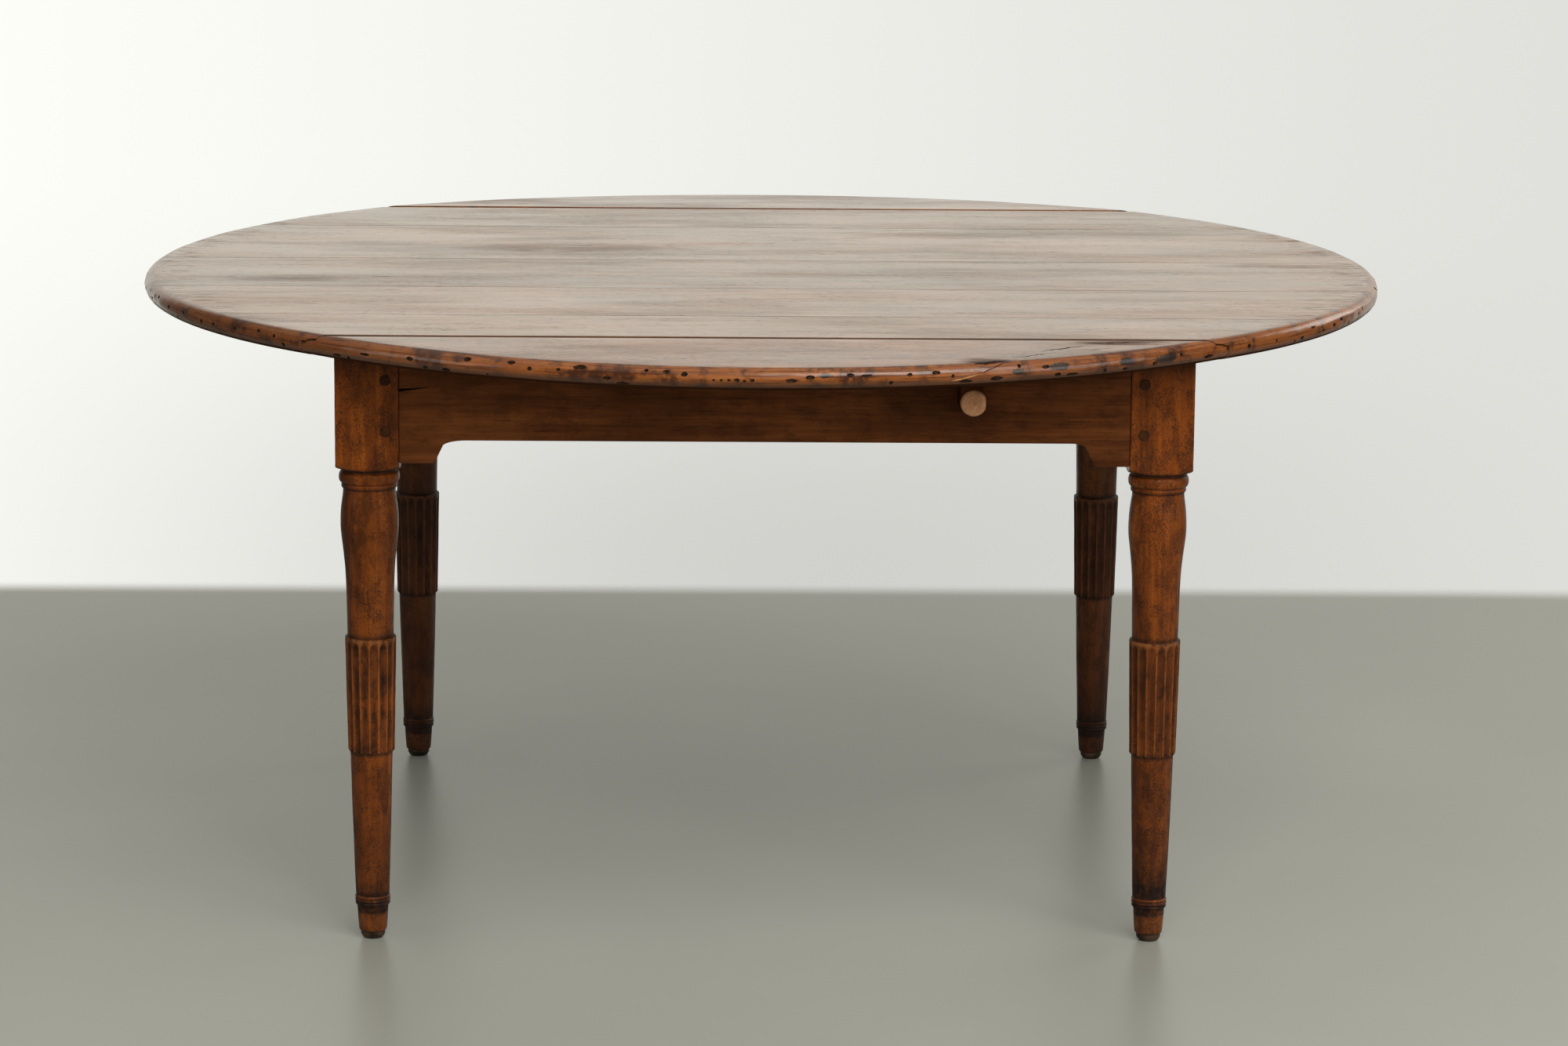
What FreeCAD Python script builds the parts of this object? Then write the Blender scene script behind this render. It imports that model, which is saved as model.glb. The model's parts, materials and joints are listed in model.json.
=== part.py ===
import FreeCAD, Part
import math
import os

# A round drop-leaf table: turned legs, pegged aprons, a boarded top, two hinged leaves and two
# pull-out slides. X runs along the hinge lines, -Y is the front and Z is up. The origin is on the
# floor under the centre of the top. All lengths are in millimetres.

# Overall sizes: the top reaches past the legs' outer faces by its overhangs, to the hinge lines at
# the front and back and to the rim at the sides
table_height = 740.0
top_diameter = 1530.0
top_thickness = 26.0
leaf_width = 200.0
hinge_overhang = 78.0
rim_overhang = 268.0

# Fits and cutting shapes
fit_gap = 0.1
running_gap = 0.3
overrun = 4.0

# Fixed top: seams as shares of the way from the front hinge line to the back one
board_seam_shares = (0.139, 0.3345, 0.551, 0.823)
board_gap = 0.3

# Rule joint between the fixed top and a leaf, and how far each raised leaf sags on its hinges
rule_fillet = 6.0
pivot_rise = 3.0
rule_gap = 1.0
seam_gap = 1.5
front_leaf_sag_degrees = 1.2
back_leaf_sag_degrees = 1.8

# Leg turning: diameters, with heights as shares of the turned length from the toe to the block
leg_block = 74.0
shoulder_rise = 7.0
shoulder_sag_share = 0.3
toe_diameter = 32.6
toe_head_diameter = 37.0
ankle_diameter = 42.0
ankle_groove = 1.2
shaft_foot_diameter = 40.0
shaft_head_diameter = 49.5
band_foot_diameter = 54.5
band_head_diameter = 60.0
waist_diameter = 54.0
upper_shaft_diameter = 57.0
bulb_foot_diameter = 61.0
bulb_diameter = 68.0
neck_diameter = 61.0
collar_diameter = 64.0
bead_diameter = 71.0
ankle_foot_share = 0.059
ankle_head_share = 0.077
band_foot_share = 0.391
band_head_share = 0.639
upper_shaft_share = 0.767
bulb_foot_share = 0.817
bulb_share = 0.885
neck_share = 0.957
bead_foot_share = 0.968
bead_head_share = 0.994

# Flutes of the raised band
flute_count = 16
flute_depth = 2.0
flute_cut_radius = 6.0
flute_head_margin = 5.0

# Foot pads, each with a nail into the toe
pad_height = 10.0
pad_foot_diameter = 22.0
pad_head_diameter = 28.7
pad_shoulder_share = 0.45
pad_nail_diameter = 4.0
pad_nail_length = 20.0

# Aprons, with a stepped bracket at each end of the lower edge
apron_height = 110.0
apron_thickness = 24.0
apron_recess = 2.0
bracket_drop = 27.0
bracket_width = 42.0
bracket_slant_run = 8.0
bracket_slant_share = 0.72
bracket_cove_run = 14.0
bracket_cove_sag_share = 0.3
block_reveal = 10.0
tenon_thickness = 9.0
tenon_length = 40.0
tenon_shoulder = 15.0
mortise_room = 1.0

# Pegs that lock the tenons, two to each joint
peg_diameter = 11.0
peg_length = 45.0
peg_proud = 0.8
peg_inset = 15.5
peg_low_rise = 10.5
peg_high_drop = 39.5

# Slides that hold up the leaves, set in from the middle of a leg, with runners, keepers and stops
slide_inset = 222.6
slide_width = 28.0
slide_height = 63.0
slide_full_travel = 190.0
slide_tail = 25.0
runner_width = 26.0
keeper_thickness = 12.0
keeper_width = 40.0
keeper_setback = 230.0
stop_diameter = 10.0
stop_depth = 30.0
stop_proud = 9.0

# Turned knob of a slide: outline stations as shares of its length and its diameter
knob_diameter = 30.5
knob_length = 28.0
knob_drop = 51.5
knob_swing_gap = 4.0
knob_tenon_diameter = 12.0
knob_tenon_length = 30.0
knob_foot_shares = (0.0, 0.62)
knob_neck_shares = (0.30, 0.50)
knob_back_shares = (0.58, 0.94)
knob_edge_shares = (0.74, 1.0)
knob_face_shares = (0.90, 0.84)
knob_crown_share = 0.55
knob_dimple_diameter = 3.0
knob_dimple_depth = 1.5

# Screws
screw_diameter = 4.5
screw_head_diameter = 9.0
screw_head_height = 3.0
screw_slot_width = 1.2
screw_slot_depth = 1.0
hinge_screw_length = 14.0
runner_screw_grip = 24.0
runner_screw_bite = 16.0
keeper_screw_bite = 26.0
cleat_screw_bite = 16.0

# Cleats that hold the top down on the aprons, each set in from the middle of the nearest leg
cleat_size = 30.0
cleat_length = 60.0
front_cleat_inset = 130.0
side_cleat_inset = 200.0
cleat_screw_share = 0.25

# Hinges under the rule joints, with screw places as shares of the hinge's width and the flap's length
hinge_spacing = 340.0
hinge_width = 70.0
flap_thickness = 2.0
flap_setback = 7.0
flap_arm_past = 2.0
top_flap_length = 56.0
leaf_flap_length = 44.0
barrel_diameter = 8.0
hinge_pin_diameter = 4.0
hinge_pocket_gap = 2.5
knuckle_count = 5
top_flap_screw_shares = ((-0.32, 0.82), (0.0, 0.55), (0.32, 0.82))
leaf_flap_screw_shares = ((-0.32, 0.42), (0.0, 0.74), (0.32, 0.42))

# Places worked out from the sizes above
underside = table_height - top_thickness
top_radius = top_diameter / 2
rim_radius = top_thickness / 2
hinge_offset = top_radius - leaf_width
rule_radius = top_thickness - rule_fillet - pivot_rise
pivot_height = underside + pivot_rise
block_half = leg_block / 2
block_corner = math.hypot(block_half, block_half)
block_foot = underside - apron_height - bracket_drop - block_reveal
turned_length = block_foot - pad_height
apron_foot = underside - apron_height
front_block = hinge_offset - hinge_overhang
side_block = top_radius - rim_overhang
front_face = front_block - apron_recess
side_face = side_block - apron_recess
leg_spacing_x = (side_block - block_half) * 2
leg_spacing_y = (front_block - block_half) * 2
slide_x = leg_spacing_x / 2 - slide_inset
cleat_x = leg_spacing_x / 2 - front_cleat_inset
cleat_y = leg_spacing_y / 2 - side_cleat_inset
front_inner = front_face - apron_thickness
side_inner = side_face - apron_thickness
slide_head = underside - running_gap
slide_foot = slide_head - slide_height
runner_foot = slide_foot - running_gap
slide_front = hinge_offset - pivot_rise - knob_swing_gap - knob_length
keeper_middle = front_inner - keeper_setback

up = FreeCAD.Vector(0, 0, 1)
along = FreeCAD.Vector(1, 0, 0)
forward = FreeCAD.Vector(0, -1, 0)
inward = FreeCAD.Vector(0, 1, 0)
centre = FreeCAD.Vector(0, 0, 0)


def box(x0, x1, y0, y1, z0, z1):
    return Part.makeBox(x1 - x0, y1 - y0, z1 - z0, FreeCAD.Vector(x0, y0, z0))


def line(a, b):
    return Part.LineSegment(a, b).toShape()


def arc(a, b, c):
    return Part.Arc(a, b, c).toShape()


def turned(edges):
    """Solid of revolution about Z from edges in the XZ plane that close on the axis."""
    return Part.Face(Part.Wire(edges)).revolve(centre, up, 360)


def spun(shape, degrees):
    """A copy of the shape, turned about the table's vertical axis."""
    copy = shape.copy()
    copy.rotate(centre, up, degrees)
    return copy


def placed(shape, point, axis):
    """A copy of a shape built along +Z, set at the point and aimed along the axis."""
    copy = shape.copy()
    copy.Placement = FreeCAD.Placement(point, FreeCAD.Rotation(up, axis))
    return copy


def one_solid(shape):
    return shape.removeSplitter().Solids[0]


def save(name, shapes):
    """Writes one node: a single solid, or a group of separate ones."""
    shape = Part.makeCompound(shapes) if len(shapes) > 1 else shapes[0]
    shape.exportStep("parts/" + name + ".step")


# Screws and the holes that take them
def screw(length):
    head = Part.makeCone(screw_head_diameter / 2, screw_diameter / 2, screw_head_height)
    shank = Part.makeCylinder(screw_diameter / 2, length)
    reach = screw_head_diameter / 2 + overrun
    slot = box(-reach, reach, -screw_slot_width / 2, screw_slot_width / 2, -overrun, screw_slot_depth)
    return one_solid(head.fuse(shank).cut(slot))


def screw_hole(length, sink):
    """The room of a screw, widened by the fit, with a sunk way in behind its head."""
    head_radius = screw_head_diameter / 2 + fit_gap
    radius = screw_diameter / 2 + fit_gap
    head = Part.makeCone(head_radius, radius, screw_head_height)
    shank = Part.makeCylinder(radius, length + fit_gap)
    way_in = Part.makeCylinder(head_radius, sink, FreeCAD.Vector(0, 0, -sink))
    return head.fuse(shank).fuse(way_in)


class Screws:
    """Screws of one node and the holes that they need."""

    def __init__(self):
        self.solids = []
        self.holes = []

    def drive(self, point, axis, length, sink):
        self.solids.append(placed(screw(length), point, axis))
        self.holes.append(placed(screw_hole(length, sink), point, axis))

    def spin(self, degrees):
        other = Screws()
        other.solids = [spun(solid, degrees) for solid in self.solids]
        other.holes = [spun(hole, degrees) for hole in self.holes]
        return other


# Top: a disc with a round rim, parted by the rule joints and the board seams
def top_disc():
    flat = top_radius - rim_radius
    low = FreeCAD.Vector(flat, 0, underside)
    rim = FreeCAD.Vector(top_radius, 0, underside + rim_radius)
    high = FreeCAD.Vector(flat, 0, table_height)
    foot = FreeCAD.Vector(0, 0, underside)
    head = FreeCAD.Vector(0, 0, table_height)
    return turned([line(foot, low), arc(low, rim, high), line(high, head), line(head, foot)])


def beyond_joint(edge, radius):
    """Everything outside the front rule joint; edge is the seam's face, outward from the hinge line."""
    def point(out, rise):
        return FreeCAD.Vector(-top_radius - overrun, -hinge_offset - out, pivot_height + rise)

    arc_edge = min(edge, 0)
    arc_rise = math.sqrt(radius ** 2 - arc_edge ** 2)
    diagonal = radius * math.sqrt(0.5)
    head = rule_fillet + rule_radius + overrun
    foot = -pivot_rise - overrun
    far = leaf_width + overrun
    edges = [line(point(edge, head), point(edge, arc_rise))]
    if edge > arc_edge:
        edges.append(line(point(edge, arc_rise), point(arc_edge, arc_rise)))
    edges += [
        arc(point(arc_edge, arc_rise), point(-diagonal, diagonal), point(-radius, 0)),
        line(point(-radius, 0), point(-radius, foot)),
        line(point(-radius, foot), point(far, foot)),
        line(point(far, foot), point(far, head)),
        line(point(far, head), point(edge, head)),
    ]
    return Part.Face(Part.Wire(edges)).extrude(along * (top_diameter + overrun + overrun))


def board_edges():
    inner = [-hinge_offset + share * 2 * hinge_offset for share in board_seam_shares]
    return [-top_radius] + inner + [top_radius]


def top_boards(disc, holes):
    """Boards of the fixed top, from the front to the back."""
    outside = beyond_joint(-seam_gap / 2, rule_radius + rule_gap)
    fixed = disc.cut([outside, spun(outside, 180)] + holes)
    edges = board_edges()
    boards = []
    for y0, y1 in zip(edges, edges[1:]):
        slab = box(-top_radius, top_radius, y0 + board_gap / 2, y1 - board_gap / 2,
                   underside, table_height)
        boards.append(fixed.common(slab).Solids[0])
    return boards


# Hinges, built under the front rule joint with the leaf flat
def knuckles(x, picked):
    """Ends along X of the picked knuckles of a hinge at x."""
    step = hinge_width / knuckle_count
    first = x - hinge_width / 2
    return [(first + i * step + running_gap / 2, first + (i + 1) * step - running_gap / 2) for i in picked]


def barrel(x0, x1, radius):
    return Part.makeCylinder(radius, x1 - x0, FreeCAD.Vector(x0, -hinge_offset, pivot_height), along)


def flap(x, side, length, picked, holes):
    """One flap of a hinge: side is 1 under the fixed top and -1 under the leaf."""
    def strip(x0, x1, near, far):
        ends = sorted((-hinge_offset + side * near, -hinge_offset + side * far))
        return box(x0, x1, ends[0], ends[1], underside - flap_thickness, underside)

    shape = strip(x - hinge_width / 2, x + hinge_width / 2, flap_setback, length)
    for x0, x1 in knuckles(x, picked):
        arm = strip(x0, x1, -flap_arm_past, flap_setback)
        shape = shape.fuse([arm, barrel(x0, x1, barrel_diameter / 2)])
    reach = hinge_width / 2 + overrun
    bore = barrel(x - reach, x + reach, hinge_pin_diameter / 2 + fit_gap)
    return one_solid(shape.cut([bore] + holes))


def flap_screws(x, side, length, shares):
    screws = Screws()
    for across, out in shares:
        point = FreeCAD.Vector(x + across * hinge_width, -hinge_offset + side * out * length,
                               underside - flap_thickness)
        screws.drive(point, up, hinge_screw_length, overrun)
    return screws


def hinge_set():
    """The hinges of the front leaf: top flaps, leaf flaps, pins, both sets of screws and the pockets."""
    top_flaps, leaf_flaps, pins, pockets = [], [], [], []
    top_screws, leaf_screws = Screws(), Screws()
    for x in (-hinge_spacing, 0, hinge_spacing):
        fixed = flap_screws(x, 1, top_flap_length, top_flap_screw_shares)
        moving = flap_screws(x, -1, leaf_flap_length, leaf_flap_screw_shares)
        top_flaps.append(flap(x, 1, top_flap_length, range(0, knuckle_count, 2), fixed.holes))
        leaf_flaps.append(flap(x, -1, leaf_flap_length, range(1, knuckle_count, 2), moving.holes))
        half = hinge_width / 2
        pins.append(barrel(x - half, x + half, hinge_pin_diameter / 2))
        pocket_half = half + hinge_pocket_gap
        pockets.append(barrel(x - pocket_half, x + pocket_half, barrel_diameter / 2 + hinge_pocket_gap))
        for kept, new in ((top_screws, fixed), (leaf_screws, moving)):
            kept.solids += new.solids
            kept.holes += new.holes
    return top_flaps, leaf_flaps, pins, top_screws, leaf_screws, pockets


def sagged(shapes, degrees):
    """Copies of a leaf's pieces, let down a little about the front hinge line."""
    pivot = FreeCAD.Vector(0, -hinge_offset, pivot_height)
    copies = [shape.copy() for shape in shapes]
    for copy in copies:
        copy.rotate(pivot, along, degrees)
    return copies


# Legs: one turned blank, then a copy at each corner with its mortises
def leg_blank():
    def at(diameter, share):
        return FreeCAD.Vector(diameter / 2, 0, pad_height + share * turned_length)

    def ring(diameter, groove, low_share, high_share):
        """A half-round bead between two heights."""
        base = diameter - groove * 2
        return arc(at(base, low_share), at(diameter, (low_share + high_share) / 2), at(base, high_share))

    ankle_base = ankle_diameter - ankle_groove * 2
    ankle_middle_share = (ankle_foot_share + ankle_head_share) / 2
    swell = Part.BSplineCurve()
    swell.interpolate([at(waist_diameter, band_head_share), at(upper_shaft_diameter, upper_shaft_share),
                       at(bulb_foot_diameter, bulb_foot_share), at(bulb_diameter, bulb_share),
                       at(neck_diameter, neck_share)])
    foot = FreeCAD.Vector(0, 0, pad_height)
    head = FreeCAD.Vector(0, 0, underside)
    block_edge = FreeCAD.Vector(block_half, 0, block_foot)
    corner = FreeCAD.Vector(block_corner + overrun, 0, block_foot + shoulder_rise)
    shoulder_z = block_foot + shoulder_rise * shoulder_sag_share
    shoulder = FreeCAD.Vector((block_edge.x + corner.x) / 2, 0, shoulder_z)
    corner_head = FreeCAD.Vector(corner.x, 0, underside)
    stations = [foot, at(toe_diameter, 0), at(toe_head_diameter, ankle_foot_share)]
    edges = [line(a, b) for a, b in zip(stations, stations[1:])]
    edges.append(line(stations[-1], at(ankle_base, ankle_foot_share)))
    edges.append(ring(ankle_diameter, ankle_groove, ankle_foot_share, ankle_middle_share))
    edges.append(ring(ankle_diameter, ankle_groove, ankle_middle_share, ankle_head_share))
    stations = [at(ankle_base, ankle_head_share), at(shaft_foot_diameter, ankle_head_share),
                at(shaft_head_diameter, band_foot_share), at(band_foot_diameter, band_foot_share),
                at(band_head_diameter, band_head_share), at(waist_diameter, band_head_share)]
    edges += [line(a, b) for a, b in zip(stations, stations[1:]) if a != b]
    edges.append(swell.toShape())
    stations = [at(neck_diameter, neck_share), at(collar_diameter, neck_share),
                at(collar_diameter, bead_foot_share)]
    edges += [line(a, b) for a, b in zip(stations, stations[1:])]
    edges.append(arc(at(collar_diameter, bead_foot_share),
                     at(bead_diameter, (bead_foot_share + bead_head_share) / 2),
                     at(collar_diameter, bead_head_share)))
    edges.append(line(at(collar_diameter, bead_head_share), block_edge))
    edges.append(arc(block_edge, shoulder, corner))
    edges += [line(corner, corner_head), line(corner_head, head), line(head, foot)]
    square = box(-block_half, block_half, -block_half, block_half, 0, underside)
    return turned(edges).common(square)


def flutes():
    """Hollows round the raised band, each with a round head and an open foot."""
    foot_z = pad_height + band_foot_share * turned_length
    head_z = pad_height + band_head_share * turned_length - flute_head_margin - flute_cut_radius
    band_z = pad_height + band_head_share * turned_length
    out = flute_cut_radius - flute_depth
    slope = (band_head_diameter - band_foot_diameter) / 2 / (band_z - foot_z)
    foot = FreeCAD.Vector(band_foot_diameter / 2 + out, 0, foot_z)
    head = FreeCAD.Vector(foot.x + slope * (head_z - foot_z), 0, head_z)
    run = head - foot
    hollow = Part.makeCylinder(flute_cut_radius, run.Length, foot, run)
    hollow = hollow.fuse(Part.makeSphere(flute_cut_radius, head))
    return [spun(hollow, (i + 0.5) * 360 / flute_count) for i in range(flute_count)]


def foot_pad():
    radius = pad_head_diameter / 2
    foot = FreeCAD.Vector(0, 0, 0)
    edge = FreeCAD.Vector(pad_foot_diameter / 2, 0, 0)
    shoulder = FreeCAD.Vector((pad_foot_diameter / 2 + radius) / 2, 0, pad_height * pad_shoulder_share / 2)
    side = FreeCAD.Vector(radius, 0, pad_height * pad_shoulder_share)
    rim = FreeCAD.Vector(radius, 0, pad_height)
    head = FreeCAD.Vector(0, 0, pad_height)
    pad = turned([line(foot, edge), line(edge, shoulder), line(shoulder, side), line(side, rim),
                  line(rim, head), line(head, foot)])
    nail = Part.makeCylinder(pad_nail_diameter / 2, pad_nail_length, head)
    hole = Part.makeCylinder(pad_nail_diameter / 2 + fit_gap, pad_nail_length + fit_gap, head)
    return one_solid(pad.fuse(nail)), hole


# Aprons: built as the front one, between legs that stand span apart, with the outer face at -face
def apron(span, face):
    half = (span - leg_block) / 2
    step = half - bracket_width
    slant = step - bracket_slant_run
    cove = slant - bracket_cove_run
    bracket_foot = apron_foot - bracket_drop
    slant_z = bracket_foot + bracket_drop * bracket_slant_share

    def point(x, z):
        return FreeCAD.Vector(x, -face, z)

    def lower_edge(sign):
        sag_z = apron_foot - (apron_foot - slant_z) * bracket_cove_sag_share
        middle = point(sign * (slant + cove) / 2, sag_z)
        return [line(point(sign * half, bracket_foot), point(sign * step, bracket_foot)),
                line(point(sign * step, bracket_foot), point(sign * slant, slant_z)),
                arc(point(sign * slant, slant_z), middle, point(sign * cove, apron_foot))]

    edges = lower_edge(-1) + [line(point(-cove, apron_foot), point(cove, apron_foot))]
    edges += lower_edge(1)[::-1]
    edges += [line(point(half, bracket_foot), point(half, underside)),
              line(point(half, underside), point(-half, underside)),
              line(point(-half, underside), point(-half, bracket_foot))]
    plank = Part.Face(Part.Wire(Part.sortEdges(edges)[0])).extrude(inward * apron_thickness)
    return one_solid(plank.fuse(tenons(span, face, 0, 0)))


def tenons(span, face, room, end_room):
    """Both tenons of an apron, or with room the mortises that take them."""
    half = (span - leg_block) / 2
    middle = -face + apron_thickness / 2
    reach = half + tenon_length + end_room
    y0 = middle - tenon_thickness / 2 - room
    y1 = middle + tenon_thickness / 2 + room
    z0 = apron_foot - room
    z1 = underside - tenon_shoulder + room
    return [box(-reach, -half, y0, y1, z0, z1), box(half, reach, y0, y1, z0, z1)]


def joint_pegs(span, block_face, room):
    """Pegs of the two joints of an apron, left pair first, or with room the holes that take them."""
    radius = peg_diameter / 2 + room
    inset = (span - leg_block) / 2 + peg_inset
    pairs = []
    for sign in (-1, 1):
        pair = []
        for z in (apron_foot + peg_low_rise, underside - peg_high_drop):
            start = FreeCAD.Vector(sign * inset, -block_face, z)
            shaft = Part.makeCylinder(radius, peg_length + room, start, inward)
            if not room:
                shaft = shaft.fuse(Part.makeCone(radius, radius - peg_proud, peg_proud, start, forward))
            pair.append(one_solid(shaft))
        pairs.append(pair)
    return pairs


# Cleats, built behind the front apron
def cleat(inner, x):
    block = box(x - cleat_length / 2, x + cleat_length / 2, -inner, -inner + cleat_size,
                underside - cleat_size, underside)
    screws = Screws()
    offset = cleat_length * cleat_screw_share
    rising = FreeCAD.Vector(x - offset, -inner + cleat_size / 2, underside - cleat_size)
    level = FreeCAD.Vector(x + offset, -inner + cleat_size, underside - cleat_size / 2)
    screws.drive(rising, up, cleat_size + cleat_screw_bite, overrun)
    screws.drive(level, forward, cleat_size + cleat_screw_bite, overrun)
    return block.cut(screws.holes), screws


# Slides, built at the front in the pulled-out place that they rest in
def knob():
    """Turned knob along +Z with its tenon below."""
    def at(shares):
        return FreeCAD.Vector(shares[1] * knob_diameter / 2, 0, shares[0] * knob_length)

    tip = FreeCAD.Vector(0, 0, knob_length)
    crown = FreeCAD.Vector(knob_crown_share * knob_diameter / 2, 0, knob_length)
    foot = at(knob_foot_shares)
    face = at(knob_face_shares)
    edges = [line(centre, foot),
             arc(foot, at(knob_neck_shares), at(knob_back_shares)),
             arc(at(knob_back_shares), at(knob_edge_shares), face),
             line(face, crown), line(crown, tip), line(tip, centre)]
    tenon_foot = FreeCAD.Vector(0, 0, -knob_tenon_length)
    tenon = Part.makeCylinder(knob_tenon_diameter / 2, knob_tenon_length, tenon_foot)
    dimple = Part.makeCone(knob_dimple_diameter / 2, 0, knob_dimple_depth, tip, -up)
    return one_solid(turned(edges).fuse(tenon).cut(dimple))


def slide_set():
    """The front slide, its knob and its stop."""
    knob_place = FreeCAD.Vector(slide_x, -slide_front, underside - knob_drop)
    socket_radius = knob_tenon_diameter / 2 + fit_gap
    socket = Part.makeCylinder(socket_radius, knob_tenon_length + fit_gap, knob_place, inward)
    pushed_out = slide_front - front_face
    stop_y = -keeper_middle + keeper_width / 2 + slide_full_travel + stop_diameter / 2 - pushed_out
    stop_foot = FreeCAD.Vector(slide_x, stop_y, slide_foot - stop_proud)
    stop = Part.makeCylinder(stop_diameter / 2, stop_proud + stop_depth, stop_foot)
    stop_hole = Part.makeCylinder(stop_diameter / 2 + fit_gap, stop_proud + stop_depth + fit_gap, stop_foot)
    half = slide_width / 2
    bar = box(slide_x - half, slide_x + half, -slide_front, stop_y + slide_tail, slide_foot, slide_head)
    return bar.cut([socket, stop_hole]), placed(knob(), knob_place, forward), stop


def runner(side):
    """One runner beside the front slide, from apron to apron, with a screw into each board."""
    near = slide_x + side * (slide_width / 2 + running_gap)
    far = near + side * runner_width
    bar = box(min(near, far), max(near, far), -front_inner, front_inner, runner_foot, underside)
    screws = Screws()
    edges = board_edges()
    for y0, y1 in zip(edges, edges[1:]):
        middle = (max(y0, -front_inner) + min(y1, front_inner)) / 2
        head = FreeCAD.Vector((near + far) / 2, middle, underside - runner_screw_grip)
        screws.drive(head, up, runner_screw_grip + runner_screw_bite, underside - runner_foot)
    return bar, screws


def keeper():
    """The bar across both runners that carries the front slide's tail, with its screws."""
    reach = slide_width / 2 + running_gap + runner_width
    half = keeper_width / 2
    foot = runner_foot - keeper_thickness
    bar = box(slide_x - reach, slide_x + reach, -keeper_middle - half, -keeper_middle + half,
              foot, runner_foot)
    screws = Screws()
    for sign in (-1, 1):
        point = FreeCAD.Vector(slide_x + sign * (reach - runner_width / 2), -keeper_middle, foot)
        screws.drive(point, up, keeper_thickness + keeper_screw_bite, overrun)
    return bar.cut(screws.holes), screws


def slide_notch():
    """The way through the front apron's upper edge for its slide."""
    half = slide_width / 2 + running_gap
    return box(slide_x - half, slide_x + half, -front_face - overrun, -front_inner + overrun,
               runner_foot, underside + overrun)


def build_top_and_leaves(frame_holes):
    top_flaps, leaf_flaps, pins, top_screws, leaf_screws, pockets = hinge_set()
    disc = top_disc()
    leaf = disc.common(beyond_joint(seam_gap / 2, rule_radius)).cut(pockets + leaf_screws.holes).Solids[0]
    back_top_screws = top_screws.spin(180)
    holes = frame_holes + top_screws.holes + back_top_screws.holes
    for i, board in enumerate(top_boards(disc, holes)):
        save("top_board_" + str(i + 1), [board])
    for end, degrees, sag in (("front", 0, front_leaf_sag_degrees), ("back", 180, back_leaf_sag_degrees)):
        def there(shapes):
            return [spun(shape, degrees) for shape in shapes]

        save(end + "_leaf", there(sagged([leaf], sag)))
        save(end + "_hinge_top_flaps", there(top_flaps))
        save(end + "_hinge_top_screws", there(top_screws.solids))
        save(end + "_hinge_pins", there(pins))
        save(end + "_hinge_leaf_flaps", there(sagged(leaf_flaps, sag)))
        save(end + "_hinge_leaf_screws", there(sagged(leaf_screws.solids, sag)))


def build_cleats():
    """Saves the cleats; returns their screws and, by apron, the holes that these need."""
    all_screws = []
    holes = {}
    places = (("front", 0, front_inner, cleat_x), ("right", 90, side_inner, cleat_y),
              ("back", 180, front_inner, cleat_x), ("left", 270, side_inner, cleat_y))
    for side, degrees, inner, offset in places:
        holes[side] = []
        for number, x in (("1", -offset), ("2", offset)):
            block, screws = cleat(inner, x)
            screws = screws.spin(degrees)
            save(side + "_cleat_" + number, [spun(block, degrees)])
            all_screws += screws.solids
            holes[side] += screws.holes
    save("cleat_screws", all_screws)
    return holes


def build_slides():
    """Saves the slides and what guides them; returns the runner screws' holes in the top."""
    bar, pull, stop = slide_set()
    rest, keeper_screws = keeper()
    inner, inner_screws = runner(-1)
    outer, outer_screws = runner(1)
    top_holes = []
    all_runner_screws = []
    all_keeper_screws = []
    for end, degrees in (("front", 0), ("back", 180)):
        save(end + "_slide", [spun(bar, degrees)])
        save(end + "_knob", [spun(pull, degrees)])
        save(end + "_slide_stop", [spun(stop, degrees)])
        save(end + "_keeper", [spun(rest, degrees)])
        for name, shape, screws in (("inner", inner, inner_screws), ("outer", outer, outer_screws)):
            cut = shape.cut(screws.holes + keeper_screws.holes)
            save(end + "_" + name + "_runner", [spun(cut, degrees)])
            turned_screws = screws.spin(degrees)
            all_runner_screws += turned_screws.solids
            top_holes += turned_screws.holes
        all_keeper_screws += keeper_screws.spin(degrees).solids
    save("runner_screws", all_runner_screws)
    save("keeper_screws", all_keeper_screws)
    return top_holes


def build_frame(cleat_holes):
    """Saves the aprons, the legs, their pegs and the foot pads."""
    sides = (("front", 0, leg_spacing_x, front_face, front_block),
             ("right", 90, leg_spacing_y, side_face, side_block),
             ("back", 180, leg_spacing_x, front_face, front_block),
             ("left", 270, leg_spacing_y, side_face, side_block))
    blank = leg_blank().cut(flutes())
    pad, nail_hole = foot_pad()
    blank = one_solid(blank.cut(nail_hole))
    mortises = []
    peg_holes = []
    pegs = {}
    for name, degrees, span, face, block_face in sides:
        rails = [spun(shape, degrees) for shape in tenons(span, face, fit_gap, mortise_room)]
        mortises += rails
        holes = [spun(hole, degrees) for pair in joint_pegs(span, block_face, fit_gap) for hole in pair]
        peg_holes += holes
        pegs[name] = [[spun(peg, degrees) for peg in pair] for pair in joint_pegs(span, block_face, 0)]
        shape = spun(apron(span, face), degrees)
        cuts = holes + cleat_holes[name]
        if name in ("front", "back"):
            cuts.append(spun(slide_notch(), degrees))
        save(name + "_apron", [shape.cut(cuts)])
    corners = (("front_left", -1, -1, pegs["front"][0] + pegs["left"][1]),
               ("front_right", 1, -1, pegs["front"][1] + pegs["right"][0]),
               ("back_right", 1, 1, pegs["back"][0] + pegs["right"][1]),
               ("back_left", -1, 1, pegs["back"][1] + pegs["left"][0]))
    for name, sign_x, sign_y, corner_pegs in corners:
        place = FreeCAD.Vector(sign_x * leg_spacing_x / 2, sign_y * leg_spacing_y / 2, 0)
        leg = blank.translated(place)
        save(name + "_leg", [leg.cut(mortises + peg_holes)])
        save(name + "_pegs", corner_pegs)
        save(name + "_foot_pad", [pad.translated(place)])


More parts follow.
